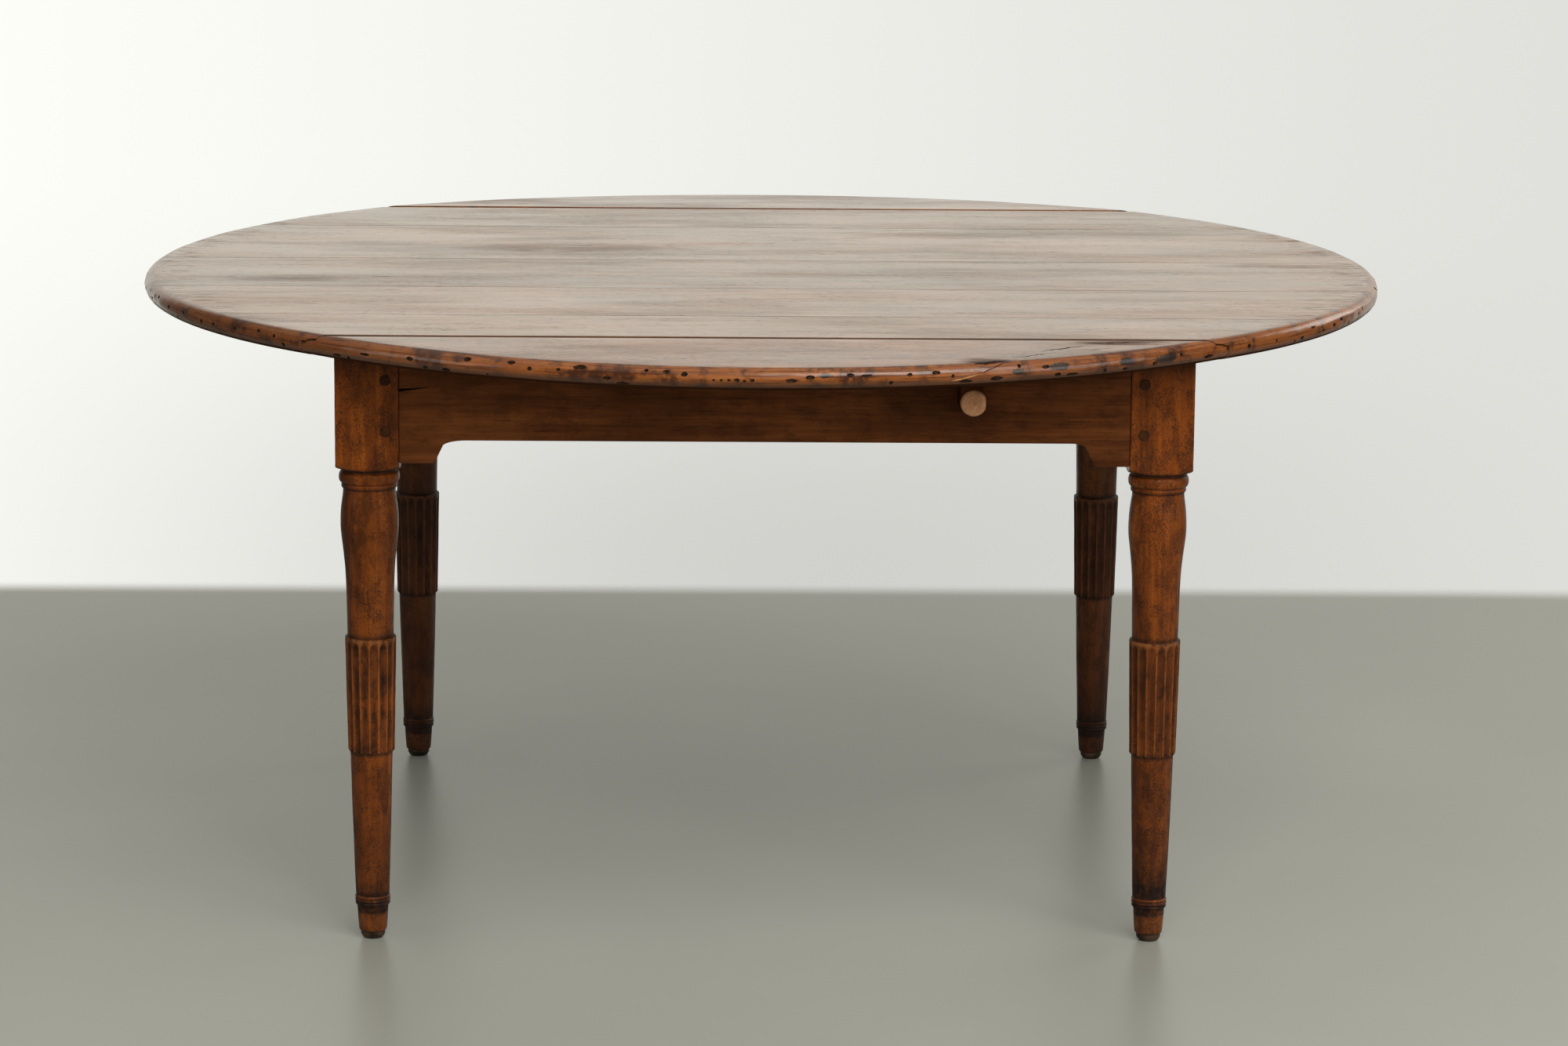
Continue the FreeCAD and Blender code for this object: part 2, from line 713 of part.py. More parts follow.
os.makedirs("parts", exist_ok=True)
apron_cleat_holes = build_cleats()
runner_holes = build_slides()
all_cleat_holes = [hole for holes in apron_cleat_holes.values() for hole in holes]
build_top_and_leaves(runner_holes + all_cleat_holes)
build_frame(apron_cleat_holes)
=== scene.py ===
import json
import random
from math import acos, atan2, cos, degrees, exp, pi, radians, remainder, sin, sqrt, tau

import bmesh
import bpy
from mathutils import Matrix, Vector, noise


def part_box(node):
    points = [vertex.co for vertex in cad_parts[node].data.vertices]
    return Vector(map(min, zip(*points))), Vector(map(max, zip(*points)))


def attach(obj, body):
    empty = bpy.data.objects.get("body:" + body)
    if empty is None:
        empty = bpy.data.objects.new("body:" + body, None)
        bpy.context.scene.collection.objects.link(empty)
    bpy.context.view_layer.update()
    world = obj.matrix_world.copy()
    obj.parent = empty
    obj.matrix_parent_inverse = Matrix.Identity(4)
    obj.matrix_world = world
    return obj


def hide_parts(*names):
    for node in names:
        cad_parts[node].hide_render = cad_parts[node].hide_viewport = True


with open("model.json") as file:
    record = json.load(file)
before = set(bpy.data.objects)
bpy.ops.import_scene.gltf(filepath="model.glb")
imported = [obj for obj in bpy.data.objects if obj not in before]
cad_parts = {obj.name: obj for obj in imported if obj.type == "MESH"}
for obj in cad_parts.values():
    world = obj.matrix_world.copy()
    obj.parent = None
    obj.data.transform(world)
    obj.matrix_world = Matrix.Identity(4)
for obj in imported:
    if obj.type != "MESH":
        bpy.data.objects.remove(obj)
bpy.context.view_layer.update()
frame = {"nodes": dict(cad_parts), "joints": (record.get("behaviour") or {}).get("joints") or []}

# Places read from the frame. All lengths are in metres.
board_count = 5
boards = [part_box(f"top_board_{i + 1}") for i in range(board_count)]
joints = {joint["name"]: joint for joint in frame["joints"]}
pivot_y = joints["back_leaf_hinge"]["pos_m"][1]
pivot_z = joints["back_leaf_hinge"]["pos_m"][2]
sags = {side: radians(-joints[f"{side}_leaf_hinge"]["range_deg"][0]) for side in ("front", "back")}
top_z = boards[2][1].z
under_z = boards[2][0].z
middle_z = (top_z + under_z) / 2
top_radius = boards[2][1].x
rim_radius = (top_z - under_z) / 2
flat_radius = top_radius - rim_radius
seams = [(a[1].y + b[0].y) / 2 for a, b in zip(boards, boards[1:])]
leg_low, leg_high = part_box("front_right_leg")
leg_x = (leg_low.x + leg_high.x) / 2
leg_y = -(leg_low.y + leg_high.y) / 2
block_half = (leg_high.x - leg_low.x) / 2
toe_z = leg_low.z
slide_low, slide_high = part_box("front_slide")
slide_x = (slide_low.x + slide_high.x) / 2
up = Vector((0, 0, 1))

# Rule joint and board seams
overrun = 0.010
clear_of_top = 0.005
joint_head = top_z - pivot_z
joint_foot = under_z - pivot_z - overrun
rule_radius = 0.017
rule_gap = 0.001
rule_steps = 9
tongue_wear = 0.0012
tongue_relief = 0.0005
relief_past = 0.0045
seam_half = 0.00075
board_gap = 0.0003
arris = 0.0008
hinge_width = 0.070
hinge_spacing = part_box("front_hinge_pins")[1].x - hinge_width / 2
pocket_radius = 0.0065
pocket_past = 0.0025
pocket_columns = 24
crisp_edge = ((0.0, 0.0011), (0.0003, 0.0006), (0.0007, 0.0003), (0.0012, -0.0004))
worn_edge = ((0.0, 0.0019), (0.004, 0.0012), (0.011, 0.0005), (0.024, -0.0002))

# Wear of the top
disc_sectors = 960
disc_rings = 44
rim_rows = 15
disc_under_rings = 10
rim_wobble = 0.0009
under_band = 0.0034
top_dip = 0.0004
dent_count = 165
dent_spacing = 0.015
dent_half_lengths = (0.0026, 0.0034, 0.0045, 0.006, 0.009)
dent_half_heights = (0.0020, 0.0038)
dent_depths = (0.0016, 0.0032)
dent_tilts = (-38, 42)
dent_proud = 0.0012
dent_columns = 12
dent_rows = 7
scallop_count = 6
scallop_pitch = 0.0085
scallop_start = -0.060
scallop_size = Vector((0.0032, 0.0024))
scallop_depth = 0.0022
scallop_sway = 0.0015
scallop_proud = 0.0010
leaf_crack_depth = 0.006
split_depth = 0.0030

# Leg profile: heights as shares of the turned length, diameters in metres
block_height = 0.147
block_foot = leg_high.z - block_height
turned_length = block_foot - toe_z
shoulder_rise = 0.007
toe_stations = ((0.0, 0.0316), (0.004, 0.0330), (0.030, 0.0352), (0.056, 0.0370))
ankle_stations = ((0.056, 0.0390), (0.0595, 0.0414), (0.063, 0.0396), (0.0665, 0.0420), (0.070, 0.0400),
                  (0.0735, 0.0418), (0.077, 0.0394))
shaft_stations = ((0.0785, 0.0396), (0.16, 0.0425), (0.28, 0.0464), (0.389, 0.0495))
band_foot_share = 0.391
band_head_share = 0.639
band_foot_diameter = 0.0545
band_head_diameter = 0.0600
band_lip = 0.0012
swell_stations = ((0.641, 0.0540), (0.700, 0.0552), (0.767, 0.0570), (0.817, 0.0610), (0.860, 0.0668),
                  (0.885, 0.0680), (0.915, 0.0662), (0.945, 0.0618), (0.957, 0.0608))
collar_stations = ((0.9575, 0.0636), (0.9605, 0.0650), (0.9645, 0.0650), (0.9675, 0.0634))
bead_foot_share = 0.9685
bead_head_share = 0.9925
bead_base = 0.0646
bead_diameter = 0.0710
groove_shares = (0.9935, 0.9985)
groove_diameter = 0.0640
flute_count = 16
flute_depth = 0.0022
flute_half_share = 0.41
flute_head_margin = 0.005
flute_head_run = 0.007
leg_columns = 240
band_steps = 44
bead_steps = 10
shoulder_steps = 8
shoulder_start = 1.005
shoulder_spread = 0.42
block_steps = 26
corner_angles = (0.25, 0.6, 1.1, 1.8, 2.8)
corner_power = 44
leg_dent = 0.00022
band_nick = 0.0016
block_nick = 0.0012
block_corner = 1.33
block_corner_run = 0.08
toe_wear_share = 0.022
glide_stations = ((0.0, 0.62), (0.04, 0.74), (0.22, 0.88), (0.5, 0.98), (0.75, 1.0), (0.92, 0.97),
                  (1.0, 0.95))
glide_columns = 40

# Aprons, pegs and knobs
bracket_drop = 0.027
bracket_width = 0.042
bracket_corner = ((0.005, 0.0), (0.0022, 0.0006), (0.0, 0.0028))
bracket_slant_run = 0.008
bracket_slant_share = 0.72
bracket_cove_run = 0.017
front_left_cove_run = 0.028
cove_steps = 9
apron_arris = 0.0014
slide_gap = 0.0003
crack_start_past = 0.002
crack_run = 0.036
crack_z = 0.6625
crack_rise = 0.004
crack_sway = 0.0006
crack_height = 0.0044
crack_depth = 0.007
crack_steps = 8
tenon_thickness = 0.009
tenon_shoulder = 0.015
peg_radius = 0.0055
peg_ring = 0.0010
peg_gap_rises = (-0.0004, 0.00012, 0.00006)
peg_proud = 0.0008
peg_depth = 0.018
peg_inset = 0.0155
peg_low_rise = 0.0105
peg_high_drop = 0.0395
peg_columns = 28
knob_length = 0.028
knob_radius = 0.01525
knob_worn_share = 0.90
knob_columns = 56

# Camera, as fitted to the photograph's 2000 x 1334 frame
frame_width = 2000
focal_pixels = 6207.966
sensor_width = 36.0
camera_place = Vector((-0.06166, -6.02649, 1.59924))
camera_pan = 0.01524
camera_tilt = 0.19422
camera_roll = -0.00804


class Graph:
    """The nodes of a material or world. An input is a socket, a number or a colour."""

    def __init__(self, owner, space="Object"):
        owner.use_nodes = True
        self.tree = owner.node_tree
        self.tree.nodes.clear()
        self.place = self.node("TexCoord").outputs[space]
        self.x, self.y, self.z = self.split(self.place)

    def node(self, kind, inputs=None, **settings):
        made = self.tree.nodes.new("ShaderNode" + kind)
        for key, value in settings.items():
            setattr(made, key, value)
        for key, value in (inputs or {}).items():
            if isinstance(value, bpy.types.NodeSocket):
                self.tree.links.new(value, made.inputs[key])
            else:
                made.inputs[key].default_value = (*value, 1.0) if isinstance(value, tuple) else value
        return made

    def math(self, operation, first, *others):
        for other in others:
            first = self.node("Math", {0: first, 1: other}, operation=operation).outputs[0]
        return first

    def add(self, *values):
        return self.math("ADD", *values)

    def minus(self, *values):
        return self.math("SUBTRACT", *values)

    def times(self, *values):
        return self.math("MULTIPLY", *values)

    def most(self, *values):
        return self.math("MAXIMUM", *values)

    def size(self, value):
        return self.math("ABSOLUTE", value, 0.0)

    def swing(self, value, amount):
        """A noise value about its middle, times an amount."""
        return self.times(self.minus(value, 0.5), amount)

    def blend(self, factor, a, b):
        return self.add(a, self.times(factor, self.minus(b, a)))

    def step(self, value, low, high):
        """Smooth rise from 0 at low to 1 at high, or a fall where low is above high."""
        ends = {"Value": value, "From Min": min(low, high), "From Max": max(low, high)}
        rise = self.node("MapRange", ends, interpolation_type="SMOOTHSTEP").outputs[0]
        return rise if low < high else self.minus(1.0, rise)

    def near(self, value, place, reach):
        """1 at the place, falling smoothly to 0 at the reach either side."""
        return self.step(self.size(self.minus(value, place)), reach, 0.0)

    def off(self, value, place, reach):
        """Distance from the place, in reaches."""
        return self.times(self.minus(value, place), 1 / reach)

    def vector(self, x, y, z):
        return self.node("CombineXYZ", {"X": x, "Y": y, "Z": z}).outputs[0]

    def drawn(self, x_scale, y_scale, z):
        """Place with its X and Y scaled, for marks that are longer one way."""
        return self.vector(self.times(self.x, x_scale), self.times(self.y, y_scale), z)

    def split(self, vector):
        return self.node("SeparateXYZ", {"Vector": vector}).outputs

    def length(self, x, y, z):
        return self.node("VectorMath", {0: self.vector(x, y, z)}, operation="LENGTH").outputs["Value"]

    def noise(self, vector, scale=1.0, detail=2.0, roughness=0.5, output="Fac"):
        inputs = {"Vector": vector, "Scale": scale, "Detail": detail, "Roughness": roughness}
        return self.node("TexNoise", inputs).outputs[output]

    def mix(self, factor, a, b):
        return self.node("Mix", {0: factor, 6: a, 7: b}, data_type="RGBA").outputs[2]

    def ramp(self, value, places, colours):
        made = self.node("ValToRGB", {"Fac": value})
        elements = made.color_ramp.elements
        while len(elements) < len(places):
            elements.new(0.5)
        for element, place, colour in zip(elements, places, colours):
            element.position = place
            element.color = (*colour, 1.0)
        return made.outputs["Color"]

    def surface(self, inputs, height, strength, depth):
        """Ends a material with a shader that has these inputs, and a bump."""
        bump = self.node("Bump", {"Height": height, "Strength": strength, "Distance": depth})
        self.output(self.node("BsdfPrincipled", {**inputs, "Normal": bump.outputs[0]}))

    def output(self, shader, kind="OutputMaterial"):
        self.node(kind, {"Surface": shader.outputs[0]})


def shaded(colour, share):
    return tuple(c * share for c in colour)


class WoodGraph(Graph):
    """Waxed old wood, painted step by step: its colour, roughness and height are kept as they grow."""

    def __init__(self, material, grain, parts):
        super().__init__(material)
        x, y, z = self.x, self.y, self.z
        self.u, self.v, self.w = {"X": (x, y, z), "Y": (y, x, z), "Z": (z, x, y)}[grain]
        self.part_tone = 0.0
        for i, (part, tone) in enumerate(parts):
            past = self.math("GREATER_THAN", self.y, part)
            self.u = self.add(self.u, self.times(past, 3.7 + 1.9 * i))
            self.part_tone = self.add(self.part_tone, self.times(past, tone))

    def paint(self, mask, colour, rough=0.0, height=0.0):
        self.colour = self.mix(mask, self.colour, colour)
        if rough:
            self.rough = self.add(self.rough, self.times(mask, rough))
        if height:
            self.height = self.add(self.height, self.times(mask, height))

    def stretched(self, along, across, offset):
        """Place stretched along the grain, for streaks."""
        return self.vector(self.add(self.times(self.u, along), offset),
                           self.times(self.v_bent, across), self.times(self.w_bent, across))

    def figure(self, layers):
        """Tone of the grain from 0 to 1, from broad, middling and fine streaks, and the fine ones alone."""
        bent = self.vector(self.times(self.u, 1.4), self.times(self.v, 5.0), self.times(self.w, 5.0))
        sway = self.split(self.noise(bent, output="Color"))
        self.v_bent = self.add(self.v, self.swing(sway[0], grain_bend))
        self.w_bent = self.add(self.w, self.swing(sway[1], grain_bend))
        tone = self.part_tone
        for along, across, offset, weight in layers:
            streak = self.noise(self.stretched(along, across, offset), 1.0, 3.0, 0.55)
            tone = self.add(tone, self.times(streak, weight))
        return tone, streak

    def pores(self, amount, along, across):
        """Short dark dashes along the grain."""
        dash = self.noise(self.stretched(along, across, 1.3), 1.0, 1.0)
        cluster = self.noise(self.stretched(6.0, 40.0, 8.1))
        return self.times(self.step(self.add(dash, self.swing(cluster, 0.35)), 0.60, 0.70), amount)

    def wormholes(self, scale, share):
        """Small round dark holes, in a share of the cells of a random grid."""
        cells = self.node("TexVoronoi", {"Vector": self.place, "Scale": scale}, feature="F1").outputs
        hue = self.split(cells["Color"])
        picked = self.math("LESS_THAN", hue[0], share)
        size = self.add(self.times(hue[1], 0.05), 0.02)
        return self.times(self.math("LESS_THAN", cells["Distance"], size), picked)


# Streaks of the figure: scale along the grain, scale across it, offset and weight
long_streaks = ((1.1, 15.0, 0.0, 0.40), (3.4, 62.0, 3.7, 0.34), (10.0, 240.0, 8.3, 0.26))
short_streaks = ((1.7, 11.0, 0.0, 0.34), (9.0, 66.0, 3.7, 0.34), (36.0, 260.0, 8.3, 0.32))
grain_bend = 0.03

# Depths of the finishes' bumps
wood_relief = 0.0006
iron_relief = 0.0004
dark_relief = 0.0008


def make_wood(name, grain, tones, parts=(), pore_amount=0.6, pore_scale=(95.0, 900.0), worm_share=0.0,
              rough=0.34, rough_spread=0.14, blotch=0.35, gloss=0.5, layers=long_streaks, patina=0.0,
              marks=None):
    """Wood material; tones are its dark, middle and light colours, marks adds what is its own."""
    material = bpy.data.materials.new(name)
    g = WoodGraph(material, grain, parts)
    tone, fine = g.figure(layers)
    g.colour = g.ramp(tone, (0.36, 0.50, 0.64), tones)
    patch = g.noise(g.place, 5.0, 3.0, 0.6)
    pores = g.pores(pore_amount, *pore_scale)
    g.rough = g.add(rough - rough_spread / 2, g.times(g.step(tone, 0.62, 0.38), rough_spread))
    g.height = g.add(g.times(fine, 0.5), g.times(patch, 0.6))
    g.paint(g.times(g.step(patch, 0.62, 0.36), blotch), shaded(tones[0], 0.5))
    g.paint(pores, shaded(tones[0], 0.22), rough=0.2, height=-0.8)
    if worm_share:
        g.paint(g.wormholes(48.0, worm_share), (0.006, 0.003, 0.002), height=-2.0)
    if patina:
        patina_marks(g, patina)
    if marks:
        marks(g)
    g.surface({"Base Color": g.colour, "Roughness": g.rough, "IOR": 1.5, "Specular IOR Level": gloss},
              g.height, 0.35, wood_relief)
    return material


# Tones of the wood: dark, middle and light
rim_tones = ((0.105, 0.030, 0.007), (0.235, 0.075, 0.016), (0.36, 0.130, 0.030))
leg_tones = ((0.108, 0.026, 0.004), (0.246, 0.061, 0.008), (0.40, 0.110, 0.016))
# Back legs: the leg wood darkened, a painted shade
shaded_back_leg_tones = ((0.052, 0.014, 0.003), (0.112, 0.032, 0.007), (0.175, 0.053, 0.012))
apron_tones = ((0.068, 0.020, 0.006), (0.145, 0.044, 0.012), (0.24, 0.074, 0.020))
inner_tones = ((0.11, 0.055, 0.024), (0.21, 0.115, 0.055), (0.31, 0.19, 0.10))
knob_tones = ((0.42, 0.195, 0.092), (0.72, 0.365, 0.185), (0.84, 0.51, 0.30))
under_tones = ((0.085, 0.040, 0.018), (0.155, 0.080, 0.038), (0.22, 0.125, 0.065))
torn_tones = ((0.30, 0.13, 0.05), (0.50, 0.25, 0.10), (0.66, 0.38, 0.18))
peg_tones = ((0.027, 0.009, 0.003), (0.062, 0.019, 0.005), (0.105, 0.034, 0.010))
black_wood = (0.008, 0.004, 0.003)


def patina_marks(g, amount):
    """Dark mottling of old polish, and fine specks in it."""
    mottle = g.noise(g.stretched(26.0, 52.0, 5.0), 1.0, 5.0, 0.7)
    speck = g.noise(g.stretched(260.0, 420.0, 2.0), 1.0, 2.0, 0.6)
    dull = g.times(g.step(mottle, 0.44, 0.68), amount)
    specks = g.times(g.step(g.add(speck, g.swing(mottle, 0.9)), 0.56, 0.70), amount, 0.9)
    g.paint(g.most(dull, specks), (0.020, 0.006, 0.002))
    g.rough = g.add(g.rough, g.times(dull, 0.12), g.times(specks, 0.15))
    g.height = g.add(g.height, g.times(mottle, 0.8), g.times(specks, -0.4))


def leg_marks(g):
    """Pits, dark grime with painted shade in hollows and creases, and pale wear on ridges, the last two from
    the mesh's attributes.
    """
    fine = g.noise(g.place, 560.0, 4.0, 0.68)
    coarse = g.noise(g.place, 62.0, 3.0, 0.6)
    pits = g.step(g.add(fine, g.swing(coarse, 0.5)), 0.50, 0.66)
    g.paint(g.times(pits, 0.68), (0.024, 0.007, 0.003))
    g.height = g.add(g.height, g.times(pits, -1.0))
    grime_and_shade, wear = [g.node("Attribute", attribute_name=name).outputs["Fac"] for name in ("grime_and_shade", "wear")]
    ragged = g.noise(g.place, 120.0, 3.0, 0.65)
    # Dark dirt and painted shade in hollows, creases and under the top
    g.paint(g.times(grime_and_shade, g.add(0.72, g.times(g.step(ragged, 0.3, 0.6), 0.28))), black_wood, rough=0.18)
    g.paint(g.times(wear, g.step(ragged, 0.70, 0.40)), (0.26, 0.092, 0.027))


# Places of the top's marks; a pair gives the two ends of a fade
# Painted shade: the rim darker on its left side, fading over this span of X
shaded_left = (-0.30, -0.52)
front_only = (-0.3, 0.0)
check_x = (0.50, 0.66)
check_radius = (0.69, 0.74)
# Rise of the dirt and painted shade above the underside
dirt_and_shade_rise = (0.012, 0.002)
lip_reach = 0.005
seam_reach = 0.0016
hinge_line_reach = 0.0020
skin_depths = (0.006, 0.003)
under_edge = (-0.050, 0.006)
under_fray = 0.04


def top_marks(g, stains, haze_and_sheen, scars=()):
    """Marks of the top: a pale haze on the flat, a painted sheen; lines, dirt and painted shade of the rim;
    flecks, end checks, seams and stains.
    """
    radius = g.length(g.x, g.y, 0.0)
    rim = g.step(radius, top_radius - rim_radius * 1.15, top_radius - rim_radius * 0.75)
    flat = g.minus(1.0, rim)
    # Pale greyish haze on the flat, a painted sheen
    g.paint(g.times(flat, haze_and_sheen), (0.270, 0.210, 0.140))
    g.paint(g.times(rim, 0.40), (0.36, 0.100, 0.018))
    # Rim: fine lines along it, dark mottles, painted shade on its left side, and dirt with painted shade
    # towards the underside
    line = g.noise(g.drawn(14.0, 14.0, g.times(g.z, 620.0)), 1.0, 3.0)
    mottle = g.noise(g.place, 34.0, 5.0, 0.66)
    cloud = g.noise(g.place, 13.0, 3.0, 0.6)
    dark_spots = g.step(g.add(mottle, g.swing(cloud, 0.5)), 0.48, 0.66)
    g.paint(g.times(g.step(line, 0.48, 0.66), rim, 0.70), (0.055, 0.014, 0.004))
    g.paint(g.times(dark_spots, rim, 0.88), (0.030, 0.008, 0.003))
    # Painted shade on the rim's left side
    g.paint(g.times(g.step(g.x, *shaded_left), rim, 0.38), (0.060, 0.020, 0.008))
    for x, drop, reach_x, reach_z in scars:
        away = g.length(g.off(g.x, x, reach_x), g.step(g.y, *front_only), g.off(g.z, top_z - drop, reach_z))
        level = g.add(g.times(mottle, 0.9), g.times(g.step(away, 1.0, 0.0), 0.30))
        scarred = g.times(g.step(level, 0.54, 0.62), g.step(away, 1.0, 0.5), rim, 0.92)
        g.paint(scarred, (0.012, 0.010, 0.010))
    lip = g.near(radius, top_radius - rim_radius * 0.9, lip_reach)
    g.paint(g.times(lip, g.step(mottle, 0.38, 0.55), 0.7), (0.045, 0.012, 0.004))
    # Dirt and painted shade towards the rim's underside
    dirt_and_shade = g.times(g.step(g.z, under_z + dirt_and_shade_rise[0], under_z + dirt_and_shade_rise[1]), rim, 0.7)
    g.paint(dirt_and_shade, (0.035, 0.012, 0.004), rough=0.5)
    # Bare marks, where the polish has gone: flecks, scars, checks at the boards' ends, seams
    fleck = g.add(g.noise(g.drawn(55.0, 620.0, 0.0)), g.swing(g.noise(g.drawn(4.0, 22.0, 5.0)), 0.4))
    scar = g.noise(g.drawn(12.0, 170.0, 2.0), 1.0, 3.0)
    check = g.noise(g.drawn(30.0, 480.0, g.times(g.z, 60.0)))
    ends = g.times(g.step(g.size(g.x), *check_x), g.step(radius, *check_radius))
    near_top = g.step(g.z, top_z - skin_depths[0], top_z - skin_depths[1])
    broken = g.step(g.noise(g.drawn(3.0, 2.0, 0.0), 1.0, 3.0), 0.35, 0.55)
    bare = [g.times(g.step(fleck, 0.69, 0.79), flat, 0.6), g.times(g.step(scar, 0.70, 0.75), flat, 0.7),
            g.times(g.step(check, 0.58, 0.66), ends, flat, 0.65)]
    bare += [g.times(g.near(g.y, seam, seam_reach), broken, flat) for seam in seams]
    bare += [g.times(g.near(g.y, side * pivot_y, hinge_line_reach), near_top) for side in (-1, 1)]
    frayed = g.noise(g.drawn(14.0, 230.0, 1.0), 1.0, 4.0, 0.6)
    for x, y, reach_x, reach_y, amount in stains:
        away = g.length(g.off(g.x, x, reach_x), g.off(g.y, y, reach_y), 0.0)
        level = g.add(frayed, g.times(g.step(away, 1.0, 0.0), 0.22))
        bare.append(g.times(g.step(level, 0.50, 0.70), g.step(away, 1.0, 0.4), near_top, amount))
    g.height = g.times(g.height, g.add(0.06, g.times(rim, 0.12)))
    g.paint(g.most(*bare), black_wood, rough=0.6, height=-0.3)
    # Dull and bright stretches of polish
    worn = g.noise(g.stretched(2.4, 12.0, 2.0), 1.0, 5.0, 0.62)
    g.rough = g.add(g.rough, g.times(rim, 0.07), g.times(g.step(worn, 0.40, 0.66), flat, 0.11))
    g.height = g.add(g.height, g.times(mottle, rim, 0.08))


def under_marks(g):
    """Raw underside of the top, browner and dirtier towards the rim."""
    smudge = g.noise(g.place, 9.0, 4.0, 0.6)
    spread = g.add(g.length(g.x, g.y, 0.0), g.times(smudge, under_fray))
    g.paint(g.times(g.step(smudge, 0.40, 0.66), 0.5), (0.045, 0.022, 0.010))
    g.paint(g.step(spread, top_radius + under_edge[0], top_radius + under_edge[1]), (0.045, 0.014, 0.005))


def make_iron(name, tint, rust):
    """Old forged iron: dark, mottled, with rust in patches."""
    material = bpy.data.materials.new(name)
    g = Graph(material)
    mottle = g.noise(g.place, 160.0, 4.0, 0.65)
    patch = g.step(g.noise(g.place, 34.0, 3.0), 0.46, 0.64)
    colour = g.mix(g.step(mottle, 0.3, 0.7), shaded(tint, 0.5), tint)
    colour = g.mix(g.times(patch, 0.75), colour, rust)
    g.surface({"Base Color": colour, "Roughness": g.add(0.42, g.times(patch, 0.3)),
               "Metallic": g.add(0.8, g.times(patch, -0.7))}, mottle, 0.4, iron_relief)
    return material


def make_dark(name):
    """Blackened wood with painted shade at the bottom of dents, cracks and gaps."""
    material = bpy.data.materials.new(name)
    g = Graph(material)
    speck = g.noise(g.place, 420.0, 3.0, 0.6)
    tones = ((0.006, 0.004, 0.003), (0.022, 0.011, 0.006), (0.085, 0.032, 0.012))
    colour = g.ramp(speck, (0.35, 0.55, 0.7), tones)
    g.surface({"Base Color": colour, "Roughness": 0.6, "Specular IOR Level": 0.12}, speck, 0.6, dark_relief)
    return material


# Mesh helpers
def new_object(name, data):
    made = bpy.data.objects.new(name, data)
    bpy.context.scene.collection.objects.link(made)
    return made


def new_piece(name, shape, materials=(), index=0):
    """Piece of a shape's points and faces, each face turned outward and of one material."""
    mesh = bpy.data.meshes.new(name)
    mesh.from_pydata([tuple(point) for point in shape[0]], [], shape[1])
    for material in materials:
        mesh.materials.append(material)
    mesh.polygons.foreach_set("material_index", [index] * len(mesh.polygons))
    turned = bmesh.new()
    turned.from_mesh(mesh)
    bmesh.ops.recalc_face_normals(turned, faces=turned.faces)
    turned.to_mesh(mesh)
    turned.free()
    return new_object(name, mesh)


def carve(piece, cutter, operation="DIFFERENCE"):
    """Applies a boolean between two closed meshes to the piece, and deletes the cutter."""
    modifier = piece.modifiers.new("carve", "BOOLEAN")
    modifier.solver = "MANIFOLD"
    modifier.operation = operation
    modifier.object = cutter
    graph = bpy.context.evaluated_depsgraph_get()
    mesh = bpy.data.meshes.new_from_object(piece.evaluated_get(graph))
    piece.modifiers.remove(modifier)
    piece.data = mesh
    bpy.data.objects.remove(cutter)


def around(columns):
    """Cosine and sine of each angle of a ring."""
    angles = [tau * j / columns for j in range(columns)]
    return [(cos(angle), sin(angle)) for angle in angles]


def grid_faces(rows, columns):
    """Quads of a grid that closes round its columns."""
    faces = []
    for i in range(rows - 1):
        for j in range(columns):
            k = (j + 1) % columns
            faces.append((i * columns + j, i * columns + k, (i + 1) * columns + k, (i + 1) * columns + j))
    return faces


def turned_grid(rings):
    """Closed mesh through rings of points, each ring the same count, with a fan at each end."""
    columns = len(rings[0])
    verts = [point for ring in rings for point in ring]
    faces = grid_faces(len(rings), columns)
    for ring, start in ((rings[0], 0), (rings[-1], (len(rings) - 1) * columns)):
        hub = len(verts)
        verts.append(sum((Vector(p) for p in ring), Vector()) / columns)
        faces += [(start + j, start + (j + 1) % columns, hub) for j in range(columns)]
    return verts, faces


def lathed(rows, columns, point):
    """Closed mesh of a ring for each row; point gives a place from the row and the turn's cosine and sine."""
    return turned_grid([[point(*row, x, y) for x, y in around(columns)] for row in rows])


def join_shapes(shapes):
    verts, faces = [], []
    for shape_verts, shape_faces in shapes:
        start = len(verts)
        verts += shape_verts
        faces += [tuple(start + k for k in face) for face in shape_faces]
    return verts, faces


def wedge(name, sections, material, index=1):
    """Closed cutter through sections of two upper points and a lower one; index is its faces' material."""
    faces = []
    last = 3 * (len(sections) - 1)
    for a in range(0, last, 3):
        faces += [(a + i, a + j, a + j + 3, a + i + 3) for i, j in ((0, 1), (1, 2), (2, 0))]
    faces += [(0, 1, 2), (last, last + 1, last + 2)]
    verts = [point for section in sections for point in section]
    return new_piece(name, (verts, faces), [material] * 3, index)


def ripple(x, y, z):
    return noise.noise(Vector((x, y, z)))


def finish_piece(piece, body, node, sharp_degrees=32):
    piece.data.shade_smooth()
    piece.data.set_sharp_from_angle(angle=radians(sharp_degrees))
    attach(piece, body)
    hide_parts(node)


# The top: one worn disc, parted into boards and leaves
def disc_rows():
    """Radius, height and share of rim wear of each ring of the disc, from the top's middle to below."""
    rows = [(flat_radius * i / disc_rings, top_z, 0.0) for i in range(1, disc_rings + 1)]
    for i in range(1, rim_rows):
        angle = pi * (0.5 - i / rim_rows)
        rows.append((flat_radius + rim_radius * cos(angle), middle_z + rim_radius * sin(angle), cos(angle)))
    return rows + [(flat_radius * (1 - i / disc_under_rings), under_z, 0.0) for i in range(disc_under_rings)]


